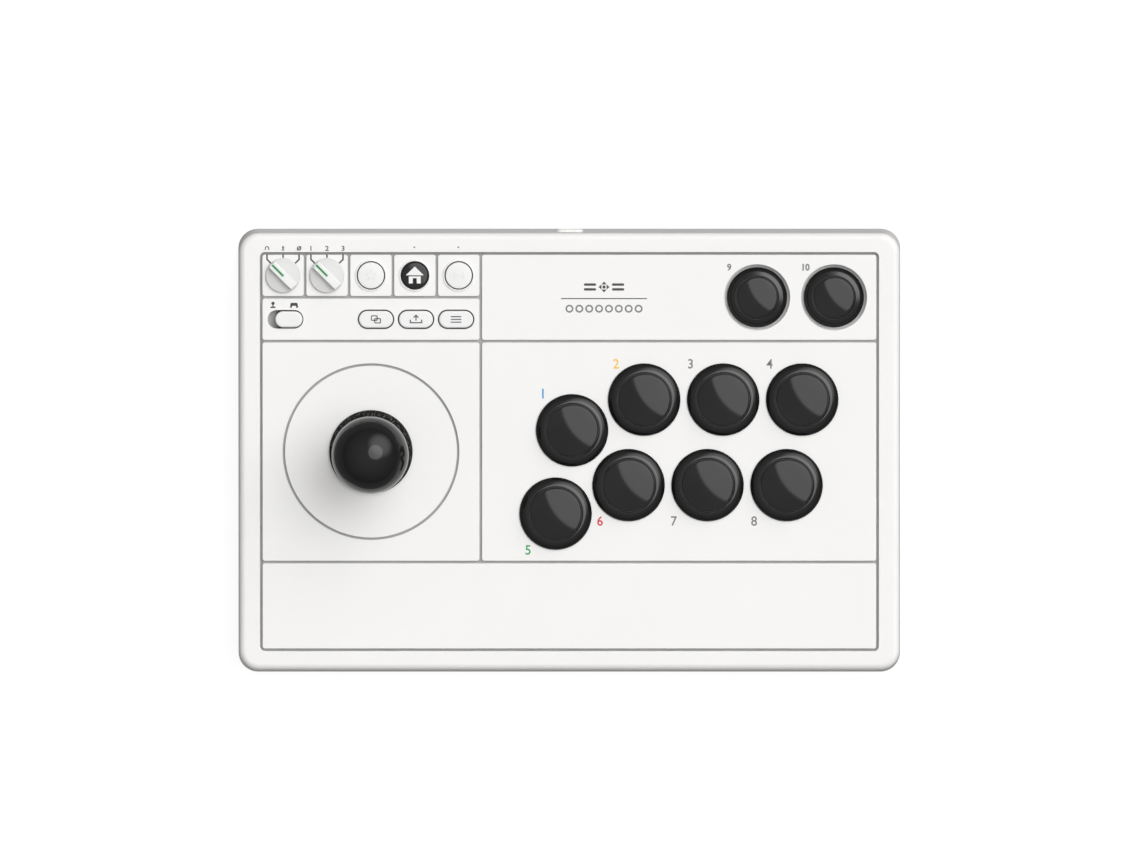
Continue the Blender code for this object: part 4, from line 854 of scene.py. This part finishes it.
def make_round_keys():
    """Keys with a domed top, rounded at its edge, on a flange and a stem."""
    edge = 0.45 * MM
    flat = KEY_RADIUS - edge
    flange, stem = KEY_RADIUS + 0.85 * MM, KEY_RADIUS / 3
    for name in ROUND_KEYS:
        finish, slot, dome = "key", "key_white", 90.0 * MM
        if name == "home_key":
            finish, slot, dome = "home", "home_black", 60.0 * MM
        low, flange_bottom, flange_top = key_levels(name)
        radii = [flat * (1 - i / 12) for i in range(13)]
        surface = [(r, top(name) - dome + math.sqrt(dome**2 - r**2)) for r in radii]
        profile = [(KEY_RADIUS, flange_top)]
        profile += arc(flat, surface[0][1] - edge, edge, 0.0, math.pi / 2, 6)
        profile += surface[1:] + [(0.0, low), (stem, low), (stem, flange_bottom)]
        profile += [(flange, flange_bottom), (flange, flange_top)]
        key = turned(profile, ROUND, middle(name))
        piece = add_piece(f"{name}_button", key, finish, f"{name}_cap", slot, [name])
        # The flange and stem get painted shade, near black, seen down the gap round the key
        paint_faces(piece, "painted_key_gap_shade", below_panel)


def make_pill(name, piece_name, length, width, flange, edge, body):
    """A pill-shaped cap with a soft top edge, on a flange and a stem."""
    place = middle(name)
    low, flange_bottom, flange_top = key_levels(name)
    stem, wide = pill(length / 3, width / 3, place), pill(*flange, place)
    loops = [at_height(stem, low), at_height(stem, flange_bottom)]
    loops += [at_height(wide, flange_bottom), at_height(wide, flange_top)]
    loops += soft_top(pill_at(length, width, place), flange_top, top(name), edge)
    piece = add_piece(piece_name, lofted(loops), "key", body, "key_white", [name])
    # The flange and stem get painted shade, near black, seen down the gap round the key
    paint_faces(piece, "painted_key_gap_shade", below_panel)


def make_pill_keys():
    flange = (PILL_LENGTH + 2 * PILL_FLANGE_LIP, PILL_WIDTH + 2 * PILL_FLANGE_LIP)
    for name in PILL_KEYS:
        make_pill(name, f"{name}_button", PILL_LENGTH, PILL_WIDTH, flange, 0.7 * MM, f"{name}_cap")


def make_slide_switch():
    """The knob, and a shelf under it with a slit for its stem."""
    place = slot_centre()
    margin = thickness = 1.0 * MM
    high = key_levels("slide_switch_knob")[1] - GAP
    low = high - thickness
    bed = add_object("slide_switch_bed", slab(pill_at(SLOT_LENGTH, SLOT_WIDTH, place)(margin), low, high))
    slit = pill_at(SLIDER_LENGTH / 3 + SLIDER_TRAVEL, SLIDER_WIDTH / 3, place)(GAP)
    combine(bed, "DIFFERENCE", slab(slit, low - OVERRUN, high + OVERRUN))
    finish_piece(bed, "bed", "case")
    flange, edge = (SLIDER_LENGTH, SLIDER_WIDTH + 4 * MM), 0.9 * MM
    make_pill("slide_switch_knob", "slide_knob", SLIDER_LENGTH, SLIDER_WIDTH, flange, edge, "slide_switch")


DIAL_RADIUS = 7.85 * MM
DIAL_DISC = 2.0 * MM
DIAL_SLOPE = 0.6 * MM
DIAL_BAR_WIDTH = 4.0 * MM
DIAL_ANGLE = math.radians(135.0)
POINTER_WIDTH = 0.75 * MM
HALO_WIDTH = 1.7 * MM
POINTER_SUNK = 0.2 * MM


def make_dials():
    """A disc with a rounded grip bar across it, and the green line along the pointing half of the bar."""
    disc_top = PANEL + DIAL_DISC
    corner, least_corner, bar_edge = 0.6 * MM, 0.05 * MM, 0.5 * MM
    half = math.sqrt(DIAL_RADIUS**2 - (DIAL_BAR_WIDTH / 2) ** 2) - 0.4 * MM
    halo = box_outline(-0.6 * MM, half - 0.1 * MM, -HALO_WIDTH / 2, HALO_WIDTH / 2, 0.5 * MM, 4)
    line = box_outline(-0.2 * MM, half - 0.3 * MM, -POINTER_WIDTH / 2, POINTER_WIDTH / 2, 0.2 * MM, 3)
    inlays = (("pointer_halo", halo, 0.015 * MM, "glow"), ("pointer", line, 0.03 * MM, "pointer"))

    def bar_outline(out):
        return centred_box(2 * half + 2 * out, DIAL_BAR_WIDTH + 2 * out, max(corner + out, least_corner))

    for name in DIALS:
        place, body = middle(name), f"{name}_knob"
        low, high = bottom(name), top(name)
        profile = [(0.0, low, 0.0), (DIAL_SPINDLE, low, 0.2 * MM), (DIAL_SPINDLE, PANEL + GAP, 0.0)]
        profile += [(DIAL_RADIUS, PANEL + GAP, 0.15 * MM), (DIAL_RADIUS, disc_top - DIAL_SLOPE, 0.45 * MM)]
        profile.append((0.0, disc_top, 0.0))
        dial = add_object(f"{name}_knob_white", turned(rounded(profile)))
        combine(dial, "UNION", lofted(soft_top(bar_outline, PANEL + BITE, high, bar_edge)))
        turn = Matrix.Translation((place.x, place.y, 0.0)) @ Matrix.Rotation(DIAL_ANGLE, 4, "Z")
        dial.data.transform(turn)
        finish_piece(dial, "dial", body, "dial_white", [name])
        # The disc below the grip bar gets painted shade: a greyer white than the bar
        paint_faces(dial, "disc", lambda centre, normal: centre.z < disc_top + 0.01 * MM)
        for mark, outline, rise, finish in inlays:
            inlay = slab(outline, high - POINTER_SUNK, high + rise)
            inlay.transform(turn)
            add_piece(f"{name}_{mark}", inlay, finish, body)


# Printed marks: thin inlays a hair above the surface that they are printed on

INK = 0.03 * MM
INK_FLOAT = 0.006 * MM
SHARPEST_MITRE = 0.3


class Print:
    """Marks of one ink on a surface at height z, drawn in millimetres from an origin that can move."""

    def __init__(self, origin=(0.0, 0.0), u=0.0, v=0.0, z=PANEL):
        self.mesh = bmesh.new()
        self.level(z)
        self.move(origin, u, v)

    def level(self, z, thickness=INK):
        self.low, self.high = z + INK_FLOAT, z + thickness

    def move(self, origin, u=0.0, v=0.0):
        self.x, self.y = origin[0] + u * MM, origin[1] + v * MM

    def place(self, u, v):
        return (self.x + u * MM, self.y + v * MM)

    def fill(self, outline):
        prism(self.mesh, outline, self.low, self.high)

    def stroke(self, points, width, closed=False):
        """A flat line of even width along a path, with mitred corners."""
        path = [Vector(self.place(*point)) for point in points]
        outs = [(after - here).normalized() for here, after in zip(path, path[1:] + path[:1])]
        if not closed:
            outs[-1] = outs[-2]
        intos = [outs[-1] if closed else outs[0], *outs[:-1]]
        left, right = [], []
        for here, into, out in zip(path, intos, outs):
            mitre = Vector((-into.y - out.y, into.x + out.x)).normalized()
            reach = width * MM / 2 / max(mitre.dot(Vector((-into.y, into.x))), SHARPEST_MITRE)
            left.append(tuple(here + mitre * reach))
            right.append(tuple(here - mitre * reach))
        if closed:
            loops = [at_height(left, self.low), at_height(left, self.high)]
            loops += [at_height(right, self.high), at_height(right, self.low)]
            loft(self.mesh, loops, ring=True)
        else:
            self.fill(right + left[::-1])

    def patch(self, points):
        self.fill([self.place(*point) for point in points])

    def dot(self, u, v, radius):
        self.fill(circle(radius * MM, 24, self.place(u, v)))

    def bar(self, u, v, length, width):
        corner = min(length, width) * MM / 2 * 0.98
        self.fill(centred_box(length * MM, width * MM, corner, self.place(u, v), 4))

    def ring(self, u, v, radius, width, start=0.0, sweep=2 * math.pi):
        whole = sweep == 2 * math.pi
        steps = max(int(sweep / (2 * math.pi) * 36), 6)
        points = arc(u, v, radius, start, sweep, steps)
        self.stroke(points[:-1] if whole else points, width, closed=whole)

    def numeral(self, text, u, v, height, weight, stretch=0.95):
        """A figure in the plain built-in type, `height` tall and a little condensed."""
        curve = bpy.data.curves.new("numeral", "FONT")
        curve.body = text
        curve.extrude = 0.5
        curve.offset = weight
        curve.resolution_u = 6
        holder = bpy.data.objects.new("numeral", curve)
        bpy.context.scene.collection.objects.link(holder)
        data = evaluated_mesh(holder)
        xs = [vertex.co.x for vertex in data.vertices]
        ys = [vertex.co.y for vertex in data.vertices]
        scale = height * MM / (max(ys) - min(ys))
        shift = Matrix.Translation((-(max(xs) + min(xs)) / 2, -(max(ys) + min(ys)) / 2, 0.5))
        size = Matrix.Diagonal((scale * stretch, scale, INK - INK_FLOAT, 1.0))
        data.transform(Matrix.Translation((*self.place(u, v), self.low)) @ size @ shift)
        self.mesh.from_mesh(data)
        bpy.data.objects.remove(holder)
        bpy.data.meshes.remove(data)
        bpy.data.curves.remove(curve)

    def finish(self, name, ink, body="case"):
        bmesh.ops.remove_doubles(self.mesh, verts=self.mesh.verts, dist=1e-7)
        add_piece(name, self.mesh, ink, body)


def make_button_numbers():
    """One figure beside each push button, in the colour of its place."""
    height, small, weight, small_weight = 4.4, 3.2, 0.012, 0.035
    rows = {
        "print_blue": [("1", "button_far_1", -13.3, 16.7)],
        "print_yellow": [("2", "button_far_2", -12.8, 16.3)],
        "print_green": [("5", "button_near_1", -12.6, -16.6)],
        "print_red": [("6", "button_near_2", -13.0, -16.4)],
        "print_grey_numbers": [
            ("3", "button_far_3", -14.9, 16.3),
            ("4", "button_far_4", -14.9, 16.3),
            ("7", "button_near_3", -15.3, -16.4),
            ("8", "button_near_4", -14.8, -16.4),
            ("9", "button_small_1", -12.7, 13.75),
            ("10", "button_small_2", -12.7, 13.75),
        ],
    }
    for name, figures in rows.items():
        marks = Print()
        for text, button, u, v in figures:
            size = (height, weight) if button in LARGE_BUTTONS else (small, small_weight)
            marks.move(button_place(button))
            marks.numeral(text, u, v, *size)
        marks.finish(name, name.removesuffix("_numbers"))


def make_emblem():
    """A stick-and-buttons pictogram over a thin rule, and a row of rings below it."""
    rule_middle = (15.8 * MM, PANEL_Y + 69.8 * MM)
    emblem = Print(rule_middle)
    emblem.stroke([(-19.6, 0.0), (19.6, 0.0)], 0.45)
    emblem.move(rule_middle, 0.0, 5.3)
    for k in range(4):
        turn = Matrix.Rotation(k * math.pi / 2, 2)
        emblem.patch([turn @ Vector(corner) for corner in ((1.15, -1.15), (2.5, 0.0), (1.15, 1.15))])
    emblem.dot(0.0, 0.0, 0.75)
    for u in (-6.4, 6.4):
        for v in (1.1, -1.1):
            emblem.bar(u, v, 5.6, 1.1)
    emblem.finish("print_emblem", "print_dark")
    rings = Print(rule_middle, -15.75, -4.6)
    for k in range(8):
        rings.ring(4.5 * k, 0.0, 1.45, 0.72)
    rings.finish("print_emblem_rings", "print_grey")


def make_dial_marks():
    """Leader lines from the dials' three positions to the tiny marks on the case's edge."""
    marks = Print()
    width, thin = 0.72, 0.42
    reach, top_v, knee_v, mark_v = 7.3, 9.6, 7.3, 12.35
    for name in DIALS:
        marks.move(middle(name))
        for side in (-1, 1):
            marks.stroke([(side * reach, top_v), (side * reach, knee_v), (side * 5.4, 5.4)], width)
        marks.stroke([(0.0, top_v), (0.0, 8.1)], width)
    marks.move(middle("dial_left"), -reach, mark_v)
    marks.ring(0.0, 0.0, 0.8, thin, 0.0, math.pi)
    for side in (-1, 1):
        marks.bar(side * 0.75, -0.3, 0.45, 0.9)
    marks.move(middle("dial_left"), 0.0, mark_v)
    marks.bar(0.0, 0.35, 0.8, 1.4)
    marks.bar(0.0, -0.75, 1.4, thin)
    marks.move(middle("dial_left"), reach, mark_v)
    marks.ring(0.0, 0.0, 0.8, thin)
    marks.stroke([(-0.9, -0.9), (0.9, 0.9)], thin)
    marks.move(middle("dial_right"), 0.0, mark_v)
    for i, text in enumerate("123"):
        marks.numeral(text, (i - 1) * reach, 0.0, 2.3, 0.02, 1.1)
    marks.finish("print_dial_marks", "print_dark")


def make_panel_icons():
    """Icons over the slide switch, a stick and a game pad, and the two tiny lamps."""
    icons = Print(slot_centre(), -5.7, 6.5)
    icons.dot(0.0, 0.8, 0.75)
    icons.stroke([(0.0, 0.3), (0.0, -0.8)], 0.5)
    icons.bar(0.0, -1.0, 2.4, 0.7)
    icons.move(slot_centre(), 3.9, 6.5)
    icons.bar(0.0, 0.35, 3.3, 1.4)
    for side in (-1, 1):
        icons.stroke([(side * 1.15, 0.4), (side * 1.5, -1.2)], 0.85)
    icons.finish("print_switch_icons", "print_dark")
    lamps = Print()
    for name in ("home_key", "pair_key"):
        lamps.move(middle(name))
        lamps.dot(-0.2, 12.85, 0.42)
    lamps.finish("status_lamps", "print_grey")


def make_key_icons():
    """Generic icons: two windows, a tray with an arrow, three lines, a star, radio waves and a house."""
    pill_top, round_top = top("view_key"), top("star_key")
    star_depth, dot_depth, wave_depth, house_depth, house_thickness = 0.04, 0.01, 0.03, 0.18, 0.22
    view = Print(middle("view_key"), z=pill_top)
    for u, v in ((-0.75, 0.6), (0.75, -0.6)):
        view.stroke(centred_box(2.6, 2.0, 0.3, (u, v), 3), 0.45, closed=True)
    view.finish("view_key_icon", "print_dark", "view_key_cap")

    share = Print(middle("share_key"), z=pill_top)
    share.stroke([(-2.6, -0.1), (-2.6, -1.5), (2.6, -1.5), (2.6, -0.1)], 0.52)
    share.stroke([(0.0, -0.6), (0.0, 1.5)], 0.5)
    share.stroke([(-1.1, 0.8), (0.0, 1.9), (1.1, 0.8)], 0.5)
    share.finish("share_key_icon", "print_dark", "share_key_cap")

    menu = Print(middle("menu_key"), z=pill_top)
    for v in (-1.25, 0.0, 1.25):
        menu.bar(0.0, v, 4.9, 0.5)
    menu.finish("menu_key_icon", "print_dark", "menu_key_cap")

    star = Print(middle("star_key"), z=round_top - star_depth * MM)
    points = []
    for k in range(10):
        points += around(0.0, 0.0, 1.1 if k % 2 else 2.5, [math.pi / 2 + k * math.pi / 5])
    star.stroke(points, 0.3, closed=True)
    star.finish("star_key_icon", "print_pale", "star_key_cap")

    pair = Print(middle("pair_key"), z=round_top - dot_depth * MM)
    pair.dot(0.0, 0.0, 0.45)
    pair.level(round_top - wave_depth * MM)
    for radius in (1.3, 2.3):
        for start in (-0.25 * math.pi, 0.75 * math.pi):
            pair.ring(0.0, 0.0, radius, 0.32, start, math.pi / 2)
    pair.finish("pair_key_icon", "print_pale", "pair_key_cap")

    home = Print(middle("home_key"))
    home.low = round_top - house_depth * MM
    home.high = home.low + house_thickness * MM
    home.patch([(4.1, 0.1), (0.0, 4.1), (-4.1, 0.1)])
    wall, door, sill, eaves, lintel = 2.7, 0.9, -3.6, -0.4, -1.2
    left = [(-wall, eaves), (-wall, sill), (-door, sill), (-door, lintel)]
    home.patch([(wall, eaves), *left, (door, lintel), (door, sill), (wall, sill)])
    home.finish("home_key_icon", "print_white", "home_key_cap")


# Fasteners below


def make_base_screws():
    """Countersunk cross-head screws in the base plate's holes."""
    screws, recesses = bmesh.new(), bmesh.new()
    post_x, post_y, front_post = PLATE_X + 0.7 * MM, PLATE_Y + 0.7 * MM, 48.0 * MM
    places = [(sx * post_x, PANEL_Y + sy * post_y) for sx in (-1, 1) for sy in (-1, 1)]
    places += [(sx * front_post, PANEL_Y - post_y) for sx in (-1, 1)]
    low = bottom("base_plate")
    shank, head, slot, slot_width = 1.2 * MM, 2.9 * MM, 3.2 * MM, 0.8 * MM
    for place in places:
        profile = [(0.0, low + 12.0 * MM), (shank, low + 11.0 * MM), (shank, low + 1.6 * MM)]
        profile += [(head, low + 0.1 * MM), (head - 0.1 * MM, low), (0.0, low - 0.02 * MM)]
        lathe(screws, profile, 32, place)
        for length, width in ((slot, slot_width), (slot_width, slot)):
            prism(recesses, centred_box(length, width, 0.1 * MM, place, 2), low - OVERRUN, low + 0.9 * MM)
    piece = add_object("base_screws", screws)
    combine(piece, "DIFFERENCE", recesses, target_overlaps_itself=True)
    finish_piece(piece, "steel", "case", "steel")


# Nodes that are carried over, by their finish

CARRIED = {
    "steel": ["base_plate", "lever_mount_plate", "lever_e_clip", "usb_port"],
    "nylon": ["lever_housing", "lever_gate", "lever_actuator", *(f"{name}_switch" for name in BUTTONS)],
    "acetal": ["lever_pivot_ball", "lever_spring_seat"],
    "chrome": ["lever_spring"],
    "board": ["lever_switch_board", "control_board", "main_board"],
    "wrap": ["battery"],
}


def repaint_nodes():
    for finish, names in CARRIED.items():
        for name in names:
            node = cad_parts[name]
            if not node.material_slots:
                node.data.materials.append(None)
            for material_slot in node.material_slots:
                material_slot.material = MATERIALS[finish]


# Stage

VIEW_TILT = math.radians(2.1)
VIEW_DISTANCE = 10.0
VIEW_WIDTH = 519.4 * MM
SENSOR = 36.0
AIM = Vector((0.3 * MM, PANEL_Y + 11.05 * MM, PANEL))


def sky_direction(off_zenith, azimuth):
    """Unit vector from degrees off the zenith, and degrees from +X towards +Y."""
    tilt, turn = math.radians(off_zenith), math.radians(azimuth)
    return (math.sin(tilt) * math.cos(turn), math.sin(tilt) * math.sin(turn), math.cos(tilt))


# Studio sky: brightness by the sine of the elevation, and soft lights as
# (direction, degrees where it starts to fade, degrees where it is gone, brightness)
SKY_LEVELS = ((-1.0, 0.34), (-0.02, 0.34), (0.0, 0.15), (0.5, 0.44), (1.0, 0.74))
SKY_LIGHTS = (
    (sky_direction(20.0, 33.0), 21.0, 22.0, 3.0),
    (sky_direction(46.0, 45.0), 8.0, 41.0, 2.7),
)
FLOOR_GLOW = 0.82


def make_camera():
    data = bpy.data.cameras.new("camera")
    data.sensor_width = SENSOR
    data.lens = SENSOR * VIEW_DISTANCE / VIEW_WIDTH
    camera = bpy.data.objects.new("camera", data)
    back = Vector((0.0, math.sin(VIEW_TILT), math.cos(VIEW_TILT)))
    camera.location = AIM + back * VIEW_DISTANCE
    right = Vector((1.0, 0.0, 0.0))
    up = back.cross(right)
    camera.rotation_euler = Matrix((right, up, back)).transposed().to_euler()
    bpy.context.scene.collection.objects.link(camera)
    bpy.context.scene.camera = camera


def make_floor():
    """A white floor, lit a little from within like a light table. It throws no light on the object."""
    mesh = bmesh.new()
    half = 300.0
    outline = [(half, half), (-half, half), (-half, -half), (half, -half)]
    mesh.faces.new([mesh.verts.new((x, y, 0.0)) for x, y in outline])
    floor = add_object("floor", mesh)
    recipe = Recipe("floor_white", 0.9, specular=0.0)
    recipe.colours(recipe.ramp(recipe.noise(3.0), 0.0, 1.0), (0.35, 0.35, 0.35), (0.37, 0.37, 0.37))
    recipe.shader.inputs["Emission Color"].default_value = (1.0, 1.0, 1.0, 1.0)
    recipe.shader.inputs["Emission Strength"].default_value = FLOOR_GLOW
    floor.data.materials.append(recipe.material)
    floor.visible_diffuse = False
    floor.visible_glossy = False
    floor.visible_shadow = False


def make_sky():
    """A studio sky, dim at the horizon, with soft round lights towards the upper right."""
    world = bpy.data.worlds.new("studio")
    world.use_nodes = True
    tree = world.node_tree
    tree.nodes.clear()
    place = add_node(tree, "TexCoord", "Generated", {})
    height = add_node(tree, "SeparateXYZ", "Z", {"Vector": place})
    share = add_node(tree, "MapRange", "Result", {"Value": height, "From Min": -1.0, "From Max": 1.0})
    total = add_node(tree, "ValToRGB", "Color", {"Fac": share})
    stops = total.node.color_ramp.elements
    while len(stops) < len(SKY_LEVELS):
        stops.new(0.5)
    for stop, (sine, level) in zip(stops, SKY_LEVELS):
        stop.position = (sine + 1.0) / 2
        stop.color = (level, level, level, 1.0)
    for direction, core, reach, level in SKY_LIGHTS:
        towards = add_node(tree, "VectorMath", "Value", {0: place, 1: direction}, operation="DOT_PRODUCT")
        fade = {"From Min": math.cos(math.radians(reach)), "From Max": math.cos(math.radians(core))}
        fade |= {"Value": towards, "To Max": level}
        spread = add_node(tree, "MapRange", "Result", fade, interpolation_type="SMOOTHSTEP")
        total = add_node(tree, "Math", "Value", {0: total, 1: spread}, operation="ADD")
    background = add_node(tree, "Background", "Background", {"Strength": total})
    output = tree.nodes.new("ShaderNodeOutputWorld")
    tree.links.new(background, output.inputs["Surface"])
    bpy.context.scene.world = world


def main():
    make_camera()
    make_sky()
    make_floor()
    make_shell()
    make_faceplate()
    make_feet()
    make_buttons()
    make_lever()
    make_round_keys()
    make_pill_keys()
    make_slide_switch()
    make_dials()
    make_button_numbers()
    make_emblem()
    make_dial_marks()
    make_panel_icons()
    make_key_icons()
    make_base_screws()
    repaint_nodes()
    bpy.context.scene.view_settings.view_transform = "Standard"


main()
